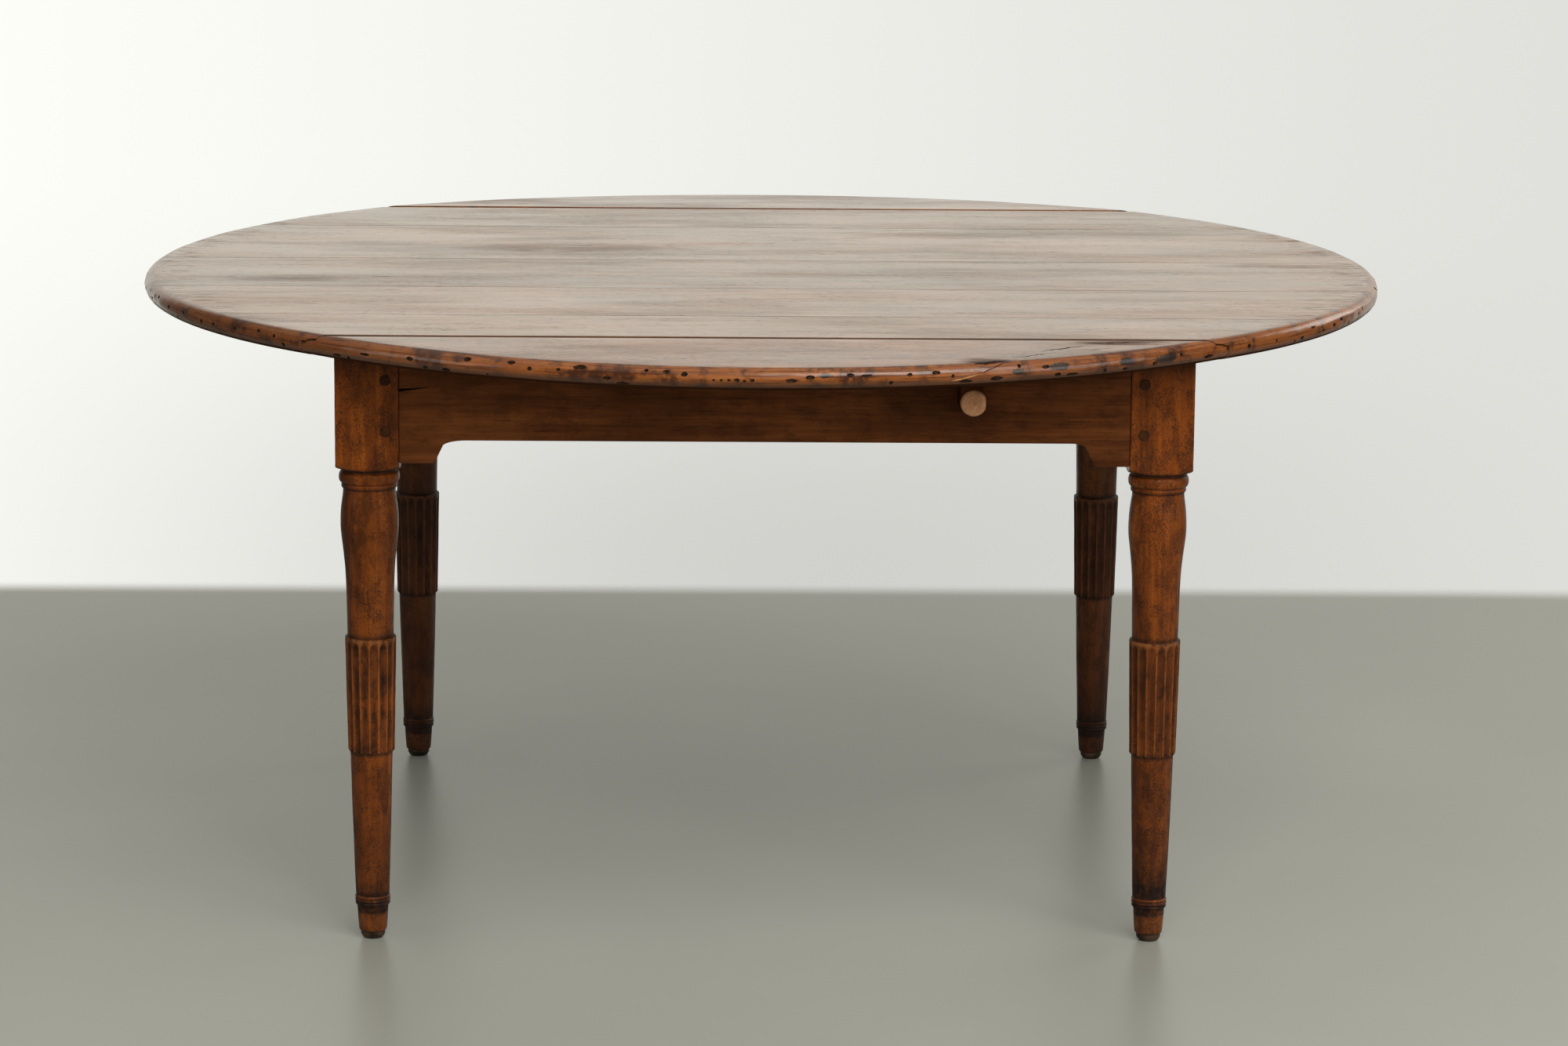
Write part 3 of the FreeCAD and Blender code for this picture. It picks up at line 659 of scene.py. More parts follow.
def worn_disc(materials):
    def point(radius, height, rim_share, x, y):
        bruise = ripple(x * 9, y * 9, height * 60) + 0.6 * ripple(x * 31, y * 31, height * 90)
        worn = radius - rim_share * rim_wobble * (0.8 + bruise)
        dip = 0.0
        if height > top_z - rim_radius / 2:
            dip = top_dip * (0.7 + ripple(worn * x * 5, worn * y * 17, 3.3))
        return worn * x, worn * y, height - dip

    piece = new_piece("worn_disc", lathed(disc_rows(), disc_sectors, point), materials)
    below = [3 if face.center.z < under_z + under_band else 0 for face in piece.data.polygons]
    piece.data.polygons.foreach_set("material_index", below)
    return piece


def prism(outline):
    """Closed bar along X over an outline of (y, z) points."""
    reach = top_radius + overrun
    count = len(outline)
    verts = [(x, y, z) for x in (-reach, reach) for y, z in outline]
    ends = [tuple(range(count)), tuple(range(count, 2 * count))]
    return new_piece("prism", (verts, grid_faces(2, count) + ends))


def rule_arc(radius, first, last):
    angles = [radians(first + (last - first) * i / rule_steps) for i in range(rule_steps + 1)]
    return [(radius * cos(a), radius * sin(a)) for a in angles]


def at_joint(side, points):
    """Points given outward from the hinge line and up from the pivot, as (y, z)."""
    return [(side * (pivot_y + out), pivot_z + rise) for out, rise in points]


def leaf_outline(side, edge):
    far = top_radius - pivot_y + overrun
    tongue = rule_radius - tongue_wear
    relief = under_z - pivot_z + tongue_relief
    points = [(seam_half + out, joint_head - drop) for out, drop in edge]
    points += [(far, joint_head + clear_of_top), (far, joint_foot), (relief_past, joint_foot),
               (relief_past, relief), (-tongue, relief), *rule_arc(tongue, 180, 90), (seam_half, tongue)]
    return at_joint(side, points)


def end_board_outline(side, seam, edge):
    """Outline of the board that carries a rule joint, between the joint and its seam."""
    inner = abs(seam) + board_gap / 2 - pivot_y
    cove = rule_radius + rule_gap
    points = [(-cove, joint_foot), *rule_arc(cove, 180, degrees(acos(-seam_half / cove)))]
    points += [(-seam_half - out, joint_head - drop) for out, drop in edge]
    points += [(inner + arris + clear_of_top, joint_head + clear_of_top), (inner, joint_head - arris),
               (inner, joint_foot)]
    return at_joint(side, points)


def board_outline(low, high):
    y0, y1 = low + board_gap / 2, high - board_gap / 2
    foot, head = under_z - overrun, top_z + clear_of_top
    slope = arris + clear_of_top
    return [(y0, foot), (y1, foot), (y1, top_z - arris), (y1 - slope, head), (y0 + slope, head),
            (y0, top_z - arris)]


def rim_frame(angle, tilt=0.0):
    """A point of the rim, with its directions along the rim, across it and out of it."""
    flat = Vector((cos(angle), sin(angle), 0))
    out = flat * cos(tilt) + up * sin(tilt)
    spot = flat * flat_radius + up * middle_z + out * rim_radius
    return spot, Vector((-flat.y, flat.x, 0)), up * cos(tilt) - flat * sin(tilt), out


def front_angle(x):
    return -acos(x / top_radius)


def blob(centre, along, across, out, sizes):
    """Irregular pebble shape for a dent, as vertices and faces."""
    def point(polar, x, y):
        spot = Vector((sin(polar) * x, sin(polar) * y, cos(polar)))
        swell = 1 + 0.35 * ripple(*(spot * 1.7 + centre * 90))
        return (centre + along * (spot.x * sizes[0] * swell) + across * (spot.y * sizes[1] * swell)
                + out * (spot.z * sizes[2]))

    return lathed([[pi * i / dent_rows] for i in range(1, dent_rows)], dent_columns, point)


def rim_dents(material):
    """Dents and holes round the rim, spread at random with room between them."""
    spread = random.Random(11)
    shapes, used = [], []
    for i in range(scallop_count):
        used.append(front_angle(scallop_start + scallop_pitch * i))
        spot, along, across, out = rim_frame(used[-1])
        spot += up * (scallop_sway * ripple(i * 1.7, 0.2, 0.9)) + out * scallop_proud
        sizes = scallop_size * (1 + 0.5 * ripple(i * 2.3, 4.1, 0.7))
        shapes.append(blob(spot, along, across, out, (*sizes, scallop_depth)))
    while len(used) < dent_count:
        angle = spread.uniform(0, tau)
        half_length = spread.choice(dent_half_lengths)
        half_height = spread.uniform(*dent_half_heights)
        depth = spread.uniform(*dent_depths)
        tilt = radians(spread.uniform(*dent_tilts))
        if any(abs(remainder(angle - other, tau)) * top_radius < dent_spacing for other in used):
            continue
        used.append(angle)
        spot, along, across, out = rim_frame(angle, tilt)
        sizes = (half_length, half_height, dent_proud + depth)
        shapes.append(blob(spot + out * dent_proud, along, across, out, sizes))
    return new_piece("rim_dents", join_shapes(shapes), [material, material], 1)


def leaf_crack(points, width, material):
    """Ragged wedge along a line of (x, y) points in the top, thinning to both ends."""
    sections = []
    count = len(points)
    for i, (x, y) in enumerate(points):
        run = Vector(points[min(i + 1, count - 1)]) - Vector(points[max(i - 1, 0)])
        share = sin(pi * (i + 0.4) / (count - 0.2))
        half = width / 2 * share * (1 + 0.5 * ripple(x * 200, y * 200, 0.5))
        side = Vector((-run.y, run.x)).normalized() * half
        sections.append([(x + side.x, y + side.y, top_z + arris), (x - side.x, y - side.y, top_z + arris),
                         (x, y, top_z - leaf_crack_depth * share)])
    return wedge("leaf_crack", sections, material)


def ragged_line(start, end, steps, sway, seed):
    """Points from start to end that wander to the sides."""
    line = []
    for i in range(steps + 1):
        share = i / steps
        wander = ripple(share * 3.0, seed * 5.3, 0.2) + 0.5 * ripple(share * 11.0, seed * 7.7, 0.6)
        x, y = [a + (b - a) * share for a, b in zip(start, end)]
        line.append((x, y + sway * wander))
    return line


# Stains: middle, reach along X and Y, and amount
top_stains = (
    (-0.575, -0.125, 0.11, 0.045, 0.20),
    (0.660, 0.030, 0.15, 0.035, 0.24),
    (-0.25, 0.160, 0.25, 0.060, 0.2),
    (0.26, 0.300, 0.25, 0.050, 0.2),
)
leaf_stains = (
    (0.246, -0.712, 0.046, 0.036, 1.0),
    (0.360, -0.620, 0.10, 0.050, 0.12),
    (0.400, -0.590, 0.09, 0.026, 0.6),
    (-0.360, 0.660, 0.18, 0.050, 0.2),
)

# Dark scars of the front leaf's rim: place along X, drop below the top, reach along X and Z
rim_scars = (
    (0.323, 0.012, 0.024, 0.009),
    (0.400, 0.012, 0.014, 0.006),
    (0.448, 0.014, 0.024, 0.010),
    (0.276, 0.014, 0.012, 0.006),
    (0.062, 0.012, 0.014, 0.006),
)

# Cracks of the front leaf, beside the split that runs to its rim: start, end, steps, sway and width
leaf_cracks = (
    ((0.226, -0.722), (0.262, -0.706), 8, 0.0030, 0.0075),
    ((0.268, -0.690), (0.320, -0.655), 20, 0.0080, 0.0030),
    ((0.300, -0.650), (0.365, -0.602), 24, 0.0090, 0.0044),
    ((0.335, -0.640), (0.395, -0.618), 20, 0.0070, 0.0026),
    ((0.352, -0.600), (0.430, -0.575), 24, 0.0060, 0.0040),
    ((0.398, -0.586), (0.460, -0.574), 20, 0.0030, 0.0032),
)

# Split across the front leaf's rim: place along X, tilt of the rim's surface and width at each point
torn_stations = ((0.203, -20, 0.0010), (0.210, -12, 0.0034), (0.218, -5, 0.0030), (0.226, 3, 0.0040),
                 (0.233, 10, 0.0024), (0.239, 16, 0.0006))
split_stations = ((0.236, 12, 0.0008), (0.243, 24, 0.0016), (0.250, 36, 0.0011), (0.257, 50, 0.0017),
                  (0.264, 66, 0.0008))


def rim_split(stations, material, index):
    """Ragged wedge along a split of the rim."""
    sections = []
    for x, tilt, width in stations:
        spot, _, _, out = rim_frame(front_angle(x), radians(tilt))
        side = out.cross(Vector((1, 0, 0))).normalized() * (width / 2)
        sections.append([spot + out * arris + side, spot + out * arris - side, spot - out * split_depth])
    return wedge("rim_split", sections, material, index)


def pockets(side):
    """Room under a leaf for its hinges' knuckles."""
    def point(x, y, z):
        return x, side * pivot_y + pocket_radius * y, pivot_z + pocket_radius * z

    reach = hinge_width / 2 + pocket_past
    middles = (-hinge_spacing, 0, hinge_spacing)
    shapes = [lathed([[x - reach], [x + reach]], pocket_columns, point) for x in middles]
    return new_piece("pockets", join_shapes(shapes))


def cut_from(disc, name, outline):
    piece = new_object(name, disc.data.copy())
    carve(piece, prism(outline), "INTERSECT")
    return piece


def turn_leaf(piece, side, sag):
    """Lets a leaf down about its hinge line by its sag."""
    pivot = Matrix.Translation((0, side * pivot_y, pivot_z))
    piece.data.transform(pivot @ Matrix.Rotation(-side * sag, 4, "X") @ pivot.inverted())


# Finish that boards and leaves share
polish = {"blotch": 0.30, "rough": 0.16, "rough_spread": 0.05, "worm_share": 0.06, "gloss": 0.75,
          "layers": short_streaks}


def top_disc(dark, torn):
    """The whole round with its rim dents, in slots for its wood, dark dents, torn wood and underside."""
    parts = list(zip(seams, (0.03, -0.05, 0.045, -0.03)))
    wood = make_wood("top_wood", "X", rim_tones, parts=parts, **polish,
                     marks=lambda g: top_marks(g, top_stains, 0.18))
    under = make_wood("under_wood", "X", under_tones, rough=0.85, gloss=0.05, blotch=0.3, pore_amount=0.4,
                      marks=under_marks)
    disc = worn_disc([wood, dark, torn, under])
    carve(disc, rim_dents(dark))
    return disc


def build_leaf(disc, name, side, edge, wood, dark, torn):
    piece = cut_from(disc, f"worn_{name}_leaf", leaf_outline(side, edge))
    piece.data.materials[0] = wood
    for face in piece.data.polygons:
        if face.normal.z < -0.95 and face.center.z < under_z + 2 * tongue_relief:
            face.material_index = 3
    carve(piece, pockets(side))
    if name == "front":
        for i, (start, end, steps, sway, width) in enumerate(leaf_cracks):
            carve(piece, leaf_crack(ragged_line(start, end, steps, sway, i), width, dark))
        carve(piece, rim_split(torn_stations, torn, 2))
        carve(piece, rim_split(split_stations, dark, 1))
    turn_leaf(piece, side, sags[name])
    finish_piece(piece, f"{name}_leaf", f"{name}_leaf")


def build_top(dark):
    torn = make_wood("torn_wood", "X", torn_tones, rough=0.6, gloss=0.2, blotch=0.2)
    leaf_wood = make_wood("leaf_wood", "X", rim_tones, **polish,
                          marks=lambda g: top_marks(g, leaf_stains, 0.0, rim_scars))
    disc = top_disc(dark, torn)
    outlines = [end_board_outline(-1, seams[0], crisp_edge)]
    outlines += [board_outline(low, high) for low, high in zip(seams, seams[1:])]
    outlines.append(end_board_outline(1, seams[-1], worn_edge))
    for i, outline in enumerate(outlines):
        piece = cut_from(disc, f"worn_board_{i + 1}", outline)
        finish_piece(piece, "frame", f"top_board_{i + 1}")
    build_leaf(disc, "front", -1, worn_edge, leaf_wood, dark, torn)
    build_leaf(disc, "back", 1, crisp_edge, leaf_wood, dark, torn)
    bpy.data.objects.remove(disc)


# Legs
def smooth_stations(stations, steps):
    """Points of a Catmull-Rom curve through stations."""
    points = [Vector(s) for s in stations]
    padded = [points[0] * 2 - points[1]] + points + [points[-1] * 2 - points[-2]]
    curve = []
    for a, b, c, d in zip(padded, padded[1:], padded[2:], padded[3:]):
        for i in range(steps):
            t = i / steps
            curve.append(0.5 * (2 * b + (c - a) * t + (2 * a - 5 * b + 4 * c - d) * t ** 2
                                + (3 * b - a - 3 * c + d) * t ** 3))
    return [(p.x, p.y) for p in curve + points[-1:]]


def leg_rows():
    """Height and radius of each ring of the turned part, from the toe up."""
    lip_share = band_lip / turned_length
    rows = smooth_stations(toe_stations, 4) + smooth_stations(ankle_stations, 3)
    rows += smooth_stations(shaft_stations, 14)
    rows += [(band_foot_share, band_foot_diameter - 2 * band_lip),
             (band_foot_share + lip_share, band_foot_diameter)]
    for i in range(1, band_steps):
        share = i / band_steps
        height = band_foot_share + (band_head_share - band_foot_share) * share
        rows.append((height, band_foot_diameter + (band_head_diameter - band_foot_diameter) * share))
    rows += [(band_head_share - lip_share, band_head_diameter),
             (band_head_share, band_head_diameter - 2 * band_lip)]
    rows += smooth_stations(swell_stations, 7) + list(collar_stations)
    for i in range(bead_steps + 1):
        angle = pi * i / bead_steps
        height = bead_foot_share + (bead_head_share - bead_foot_share) * (1 - cos(angle)) / 2
        rows.append((height, bead_base + (bead_diameter - bead_base) * sin(angle)))
    rows += [(share, groove_diameter) for share in groove_shares]
    return [(toe_z + share * turned_length, diameter / 2) for share, diameter in rows]


def leg_angles():
    angles = {round(360 * j / leg_columns, 4) for j in range(leg_columns)}
    for corner in (45, 135, 225, 315):
        for step in corner_angles:
            angles |= {corner - step, corner + step}
    return [radians(a) for a in sorted(angles)]


def flute(angle, height):
    """Depth of the flutes at a place of the raised band."""
    foot = toe_z + band_foot_share * turned_length
    head = toe_z + band_head_share * turned_length - flute_head_margin
    if not foot < height < head:
        return 0.0
    cell = angle * flute_count / tau % 1 - 0.5
    half = flute_half_share
    left = head - height
    if left < flute_head_run:
        half *= sqrt(max(1 - ((flute_head_run - left) / flute_head_run) ** 2, 0))
    if abs(cell) >= half:
        return 0.0
    return flute_depth * sqrt(1 - (cell / half) ** 2) * (half / flute_half_share)


def block_radius(angle):
    """Radius of the square block, with its corners a little rounded."""
    sides = abs(cos(angle)) ** corner_power + abs(sin(angle)) ** corner_power
    return block_half / sides ** (1 / corner_power)


def hump(value, place, reach):
    return max(0.0, 1 - ((value - place) / reach) ** 2)


# Dirt and painted shade in the creases round the leg's mouldings: amount, share of the turned length and
# reach
moulding_dirt_and_shade = ((0.95, 0.052, 0.014), (0.8, 0.0665, 0.014), (0.9, 0.998, 0.008), (0.8, 0.9575, 0.004),
                 (0.75, 0.6405, 0.010), (0.7, 0.3895, 0.008))
toe_dirt_share = 0.045
ankle_head_share = 0.077
ankle_dirt_run = 0.024
shaft_foot_share = 0.08
# Reach of the painted shade under the top
under_top_shade = 0.035


def leg_grime_and_shade(height, radius, groove, shaft_dark):
    """Dirt and painted shade in the flutes and round the mouldings, dirt on the toe and above the ankle, the
    low shaft darker towards the foot, and painted shade under the top.
    """
    share = (height - toe_z) / turned_length
    dirt_and_shade = sum(amount * hump(share, place, reach) for amount, place, reach in moulding_dirt_and_shade)
    if share < toe_dirt_share:
        dirt_and_shade += 0.50
    if share > ankle_head_share:
        dirt_and_shade += 0.9 * exp(-(share - ankle_head_share) / ankle_dirt_run)
    if shaft_foot_share < share < band_foot_share:
        dirt_and_shade += shaft_dark * (1 - (share - shaft_foot_share) / (band_foot_share - shaft_foot_share)) ** 0.5
    dirt_and_shade += 0.92 * (groove / flute_depth) ** 0.8 * (0.8 + 0.5 * ripple(height * 40, radius * 900, 1.0))
    return min(dirt_and_shade + 0.55 * hump(height, leg_high.z, under_top_shade), 1.0)


def build_leg(name, sign_x, sign_y, wood):
    centre = Vector((sign_x * leg_x, sign_y * leg_y, 0))
    shaft_dark = 0.75 if name == "front_right" else 0.2
    # Pale wear on the back legs is dimmed, a painted shade
    wear_with_back_shade = 1.0 if sign_y < 0 else 0.35
    # Dirt and painted shade in the flutes' hollows, stronger on the front left leg
    flute_dirt_and_shade = 0.95 if name == "front_left" else 0.66
    angles = leg_angles()
    rings, grime_and_shade, wear = [], [], []

    def add_ring(height, spots):
        """Adds a ring of spots, each a radius, a dirty and shaded hollow's depth and a share of wear."""
        rings.append([])
        for angle, (radius, groove, worn) in zip(angles, spots):
            rings[-1].append((centre.x + radius * cos(angle), centre.y + radius * sin(angle), height))
            grime_and_shade.append(leg_grime_and_shade(height, radius, groove, shaft_dark))
            wear.append(worn)

    for height, radius in leg_rows():
        share = (height - toe_z) / turned_length
        on_band = band_foot_share < share < band_head_share
        on_lip = on_band and height > toe_z + band_head_share * turned_length - flute_head_margin
        bare_toe = 0.2 * hump(share, toe_wear_share, toe_wear_share)
        spots = []
        for angle in angles:
            x, y = cos(angle), sin(angle)
            hollow = flute(angle, height)
            on_ridge = on_band and not hollow
            dent = ripple(centre.x * 7 + x * 2, centre.y * 7 + y * 2, height * 22)
            dent += 0.5 * ripple(centre.x * 5 + x * 5, centre.y * 5 + y * 5, height * 70)
            nick = max(0.0, ripple(x * 9 + centre.x * 31, y * 9 + centre.y * 17, height * 150) - 0.45)
            cell = int(angle * flute_count / tau)
            hollow_dirt_and_shade = flute_dirt_and_shade + 0.75 * ripple(cell * 4.3 + centre.x * 11, centre.y * 7, height * 7)
            ridge = 0.40 + 0.45 * ripple(cell * 3.1 + centre.y * 5, centre.x * 9, height * 11)
            worn = 0.8 if on_lip else max(ridge, 0.0) if on_ridge else bare_toe
            worn_radius = radius - hollow + leg_dent * dent - (band_nick * nick if on_ridge else 0.0)
            spots.append((worn_radius, hollow * max(hollow_dirt_and_shade, 0.15), wear_with_back_shade * worn))
        add_ring(height, spots)
    for i in range(shoulder_steps + 1):
        share = i / shoulder_steps
        limit = block_half * (shoulder_start + shoulder_spread * share ** 0.8)
        spots = [(min(block_radius(angle), limit), 0.0, 0.0) for angle in angles]
        add_ring(block_foot + shoulder_rise * share, spots)
    start = block_foot + shoulder_rise
    for i in range(1, block_steps + 1):
        height = start + (leg_high.z - start) * i / block_steps
        spots = []
        for angle in angles:
            full = block_radius(angle)
            nick = max(0.0, ripple(height * 60, angle * 0.6 + centre.x, centre.y * 3) - 0.1)
            corner = max(0.0, full / block_half - block_corner) / block_corner_run
            spots.append((full - block_nick * nick * corner, 0.0, 0.0))
        add_ring(height, spots)
    piece = new_piece(f"turned_{name}_leg", turned_grid(rings), [wood])
    for label, values in (("grime_and_shade", grime_and_shade), ("wear", wear)):
        attribute = piece.data.attributes.new(label, "FLOAT", "POINT")
        attribute.data.foreach_set("value", values + [0.0, 0.0])
    finish_piece(piece, "frame", f"{name}_leg", 40)


def build_foot(name, sign_x, sign_y, metal):
    """Domed glide under a toe."""
    low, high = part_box(f"{name}_foot_pad")
    centre = (low + high) / 2
    half = (high.x - low.x) / 2

    def point(share, width, x, y):
        radius = half * width * (1 + 0.02 * ripple(x * 3 + sign_x, y * 3 + sign_y, share * 4))
        return centre.x + radius * x, centre.y + radius * y, low.z + (toe_z - low.z) * share

    shape = lathed(smooth_stations(glide_stations, 3), glide_columns, point)
    piece = new_piece(f"glide_{name}", shape, [metal])
    finish_piece(piece, "frame", f"{name}_foot_pad")


# Aprons
def bracket_outline(half, apron_foot, cove_run):
    """Outline of the bracket at an apron's right end: rounded corner, slant, and a cove to the lower edge."""
    step = half - bracket_width
    slant = step - bracket_slant_run
    foot = apron_foot - bracket_drop
    slant_z = foot + bracket_drop * bracket_slant_share
    points = [(half, foot)] + [(step + out, foot + rise) for out, rise in bracket_corner]
    for i in range(cove_steps + 1):
        turn = pi / 2 * i / cove_steps
        points.append((slant - cove_run * (1 - cos(turn)), slant_z + (apron_foot - slant_z) * sin(turn)))
    return points


def apron_outline(half, head, apron_foot, notch, left_cove):
    """Outline in (along, height) of an apron between two blocks, with a notch for a slide or none."""
    right = bracket_outline(half, apron_foot, bracket_cove_run)
    left = [(-x, z) for x, z in bracket_outline(half, apron_foot, left_cove)]
    return right + left[::-1] + [(-half, head), *notch, (half, head)]


def apron_crack(start, face, material):
    """Flat wedge that runs in from the apron's end, ragged and thinning out."""
    sections = []
    for i in range(crack_steps + 1):
        share = i / crack_steps
        x = start - crack_start_past + (crack_run + crack_start_past) * share
        z = crack_z + crack_rise * share + crack_sway * ripple(i * 1.3, 0.5, 4.0)
        half = crack_height / 2 * (1 - 0.93 * share)
        sections.append([(x, face - arris, z + half), (x, face - arris, z - half),
                         (x, face + crack_depth * (1 - share / 2), z)])
    return wedge("apron_crack", sections, material)


def add_box(shape, low, high):
    for vert in bmesh.ops.create_cube(shape, size=1.0)["verts"]:
        vert.co = Vector([low[i] if vert.co[i] < 0 else high[i] for i in range(3)])


def build_apron(name, wood, dark):
    low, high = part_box(f"{name}_apron")
    lengthwise = name in ("front", "back")
    half = (leg_x if lengthwise else leg_y) - block_half
    outer, inner = (low.y, high.y) if lengthwise else (low.x, high.x)
    if name in ("back", "right"):
        outer, inner = inner, outer
    notch = ()
    if lengthwise:
        middle = slide_x if name == "front" else -slide_x
        reach = (slide_high.x - slide_low.x) / 2 + slide_gap
        notch_foot = slide_low.z - slide_gap
        notch = ((middle - reach, high.z), (middle - reach, notch_foot), (middle + reach, notch_foot),
                 (middle + reach, high.z))
    apron_foot = low.z + bracket_drop
    left_cove = front_left_cove_run if name == "front" else bracket_cove_run
    outline = apron_outline(half, high.z, apron_foot, notch, left_cove)

    def place(along, depth, height):
        return (along, depth, height) if lengthwise else (depth, along, height)

    shape = bmesh.new()
    face = shape.faces.new([shape.verts.new(place(a, outer, z)) for a, z in outline])
    made = bmesh.ops.extrude_face_region(shape, geom=[face])
    moved = [item for item in made["geom"] if isinstance(item, bmesh.types.BMVert)]
    bmesh.ops.translate(shape, verts=moved, vec=Vector(place(0, inner - outer, 0)))
    bmesh.ops.recalc_face_normals(shape, faces=shape.faces)
    sharp = [e for e in shape.edges if e.is_convex and e.calc_face_angle(0) > radians(45)]
    bmesh.ops.bevel(shape, geom=sharp, offset=apron_arris, segments=3, profile=0.5, affect="EDGES")
    piece = new_piece(f"worked_{name}_apron", ([], []), [wood, dark])
    shape.to_mesh(piece.data)
    shape.clear()
    if name == "front":
        carve(piece, apron_crack(-half, outer, dark))
    middle = (outer + inner) / 2
    reach = (high.x - low.x) / 2 if lengthwise else (high.y - low.y) / 2
    shape.from_mesh(piece.data)
    for sign in (-1, 1):
        ends = sorted((sign * (half - apron_arris), sign * reach))
        add_box(shape, place(ends[0], middle - tenon_thickness / 2, apron_foot),
                place(ends[1], middle + tenon_thickness / 2, high.z - tenon_shoulder))
    shape.to_mesh(piece.data)
    shape.free()
    finish_piece(piece, "frame", f"{name}_apron", 38)


# Pegs
def peg_shape(spot, out, seed):
    """A riven peg's end, a little proud and uneven, with a dark gap round it."""
    side = out.cross(up)
    lift = peg_proud * (0.8 + 0.5 * ripple(seed * 3.1, 0.4, 0.2))
    gap_foot, gap_head, peg_foot = peg_gap_rises
    gap_radius = peg_radius + peg_ring
    stations = ((peg_radius * 0.98, -peg_depth), (gap_radius, gap_foot), (gap_radius, gap_head),
                (peg_radius * 1.01, peg_foot), (peg_radius, lift * 0.55), (peg_radius * 0.9, lift * 0.9),
                (peg_radius * 0.6, lift), (peg_radius * 0.25, lift * 1.02))

    def point(radius, rise, x, z):
        facet = 1 + 0.05 * ripple(x * 1.8 + seed * 7, z * 1.8, seed) + 0.02 * cos(4 * atan2(z, x) + seed)
        return spot + side * (radius * facet * x) + up * (radius * facet * z) + out * rise

    return lathed(stations, peg_columns, point)


def build_pegs(name, sign_x, sign_y, wood, dark):
    apron_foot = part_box("front_apron")[0].z + bracket_drop
    inset = block_half - peg_inset
    shapes = []
    for out in (Vector((0, sign_y, 0)), Vector((sign_x, 0, 0))):
        for z in (apron_foot + peg_low_rise, leg_high.z - peg_high_drop):
            spot = Vector((sign_x * (leg_x + (block_half if out.x else -inset)),
                           sign_y * (leg_y + (block_half if out.y else -inset)), z))
            shapes.append(peg_shape(spot, out, len(shapes) + 3 * sign_x + 7 * sign_y))
    piece = new_piece(f"riven_{name}_pegs", join_shapes(shapes), [wood, dark])
    peg_faces = len(shapes[0][1])
    for face in piece.data.polygons:
        face.material_index = int(face.index % peg_faces < 3 * peg_columns)
    finish_piece(piece, "frame", f"{name}_pegs")


# Knobs: distance from the base and radius, as shares of the knob's length and radius
knob_stations = ((-0.9, 0.36), (-0.02, 0.36), (0.0, 0.60), (0.06, 0.60), (0.14, 0.54), (0.28, 0.50),
                 (0.42, 0.62), (0.52, 0.86), (0.60, 0.965), (0.70, 1.0), (0.80, 0.985), (0.87, 0.93),
                 (0.90, 0.88), (0.905, 0.85), (0.93, 0.80), (0.945, 0.70), (0.94, 0.66), (0.965, 0.62),
                 (0.975, 0.50), (0.968, 0.46), (0.985, 0.42), (0.992, 0.28), (0.985, 0.25), (0.997, 0.20),
                 (1.0, 0.11), (0.96, 0.06), (0.955, 0.02))


def build_knob(name, side, wood, dark):
    low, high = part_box(f"{name}_knob")
    centre = (low + high) / 2
    tip = low.y if side < 0 else high.y

    def point(share, width, x, z):
        radius = knob_radius * width * (1 + 0.012 * ripple(x * 2.5, z * 2.5, share * 5 + side))
        worn_x = min(radius * x, knob_radius * knob_worn_share)
        return centre.x + worn_x, tip + side * (share - 1) * knob_length, centre.z + radius * z

    piece = new_piece(f"lathed_{name}_knob", lathed(knob_stations, knob_columns, point), [wood, dark])
    fans = 2 * knob_columns
    for face in list(piece.data.polygons)[-fans:]:
        face.material_index = 1 if abs(face.center.y - tip) < knob_length / 2 else 0
    finish_piece(piece, f"{name}_slide", f"{name}_knob", 40)


# CAD pieces that keep their shape and get a finish
def dress_nodes(finishes):
    for name, node in frame["nodes"].items():
        for endings, material in finishes:
            if name.endswith(endings):
                for slot in node.material_slots:
                    slot.material = material


# Stage: a pale floor that fades out at its edges, soft lamps and a room that is bright behind the table
floor_half_x = 2.1
floor_half_y = 1.7
floor_columns = 24
floor_rows = 20
floor_tone = (0.334, 0.341, 0.308)
fade_start = 1.50
fade_end = 1.60
fade_width_share = 0.79
fade_power = 8
wall_left = 1.0
wall_right = 0.745
wall_reach = 0.21
wall_tint = (1.0, 1.0, 0.955)
room_tint = (1.0, 0.985, 0.89)
room_dim = 0.09
ceiling_level = 0.5
high_wall_level = 0.98
high_wall_slope = 0.16
low_wall_shade = 0.26
ground_level = 0.66
ground_tint = (1.0, 1.0, 0.94)
lamp_tint = (1.0, 0.97, 0.90)
aim = Vector((0, 0, 0.55))

# Lamps: name, place, level, width, height, and whether reflections show it
lamps = (("front", (0.2, -5.4, 2.7), 0.49, 3.2, 3.2, False),
         ("high", (1.75, -3.45, 4.3), 0.38, 3.0, 2.8, True),
         ("left", (-4.3, -2.65, 1.6), 0.07, 2.4, 2.2, True),
         ("side", (4.0, -3.2, 1.5), 0.13, 2.8, 2.2, True),
         ("right", (4.2, 2.8, 2.3), 0.12, 2.2, 1.8, True))


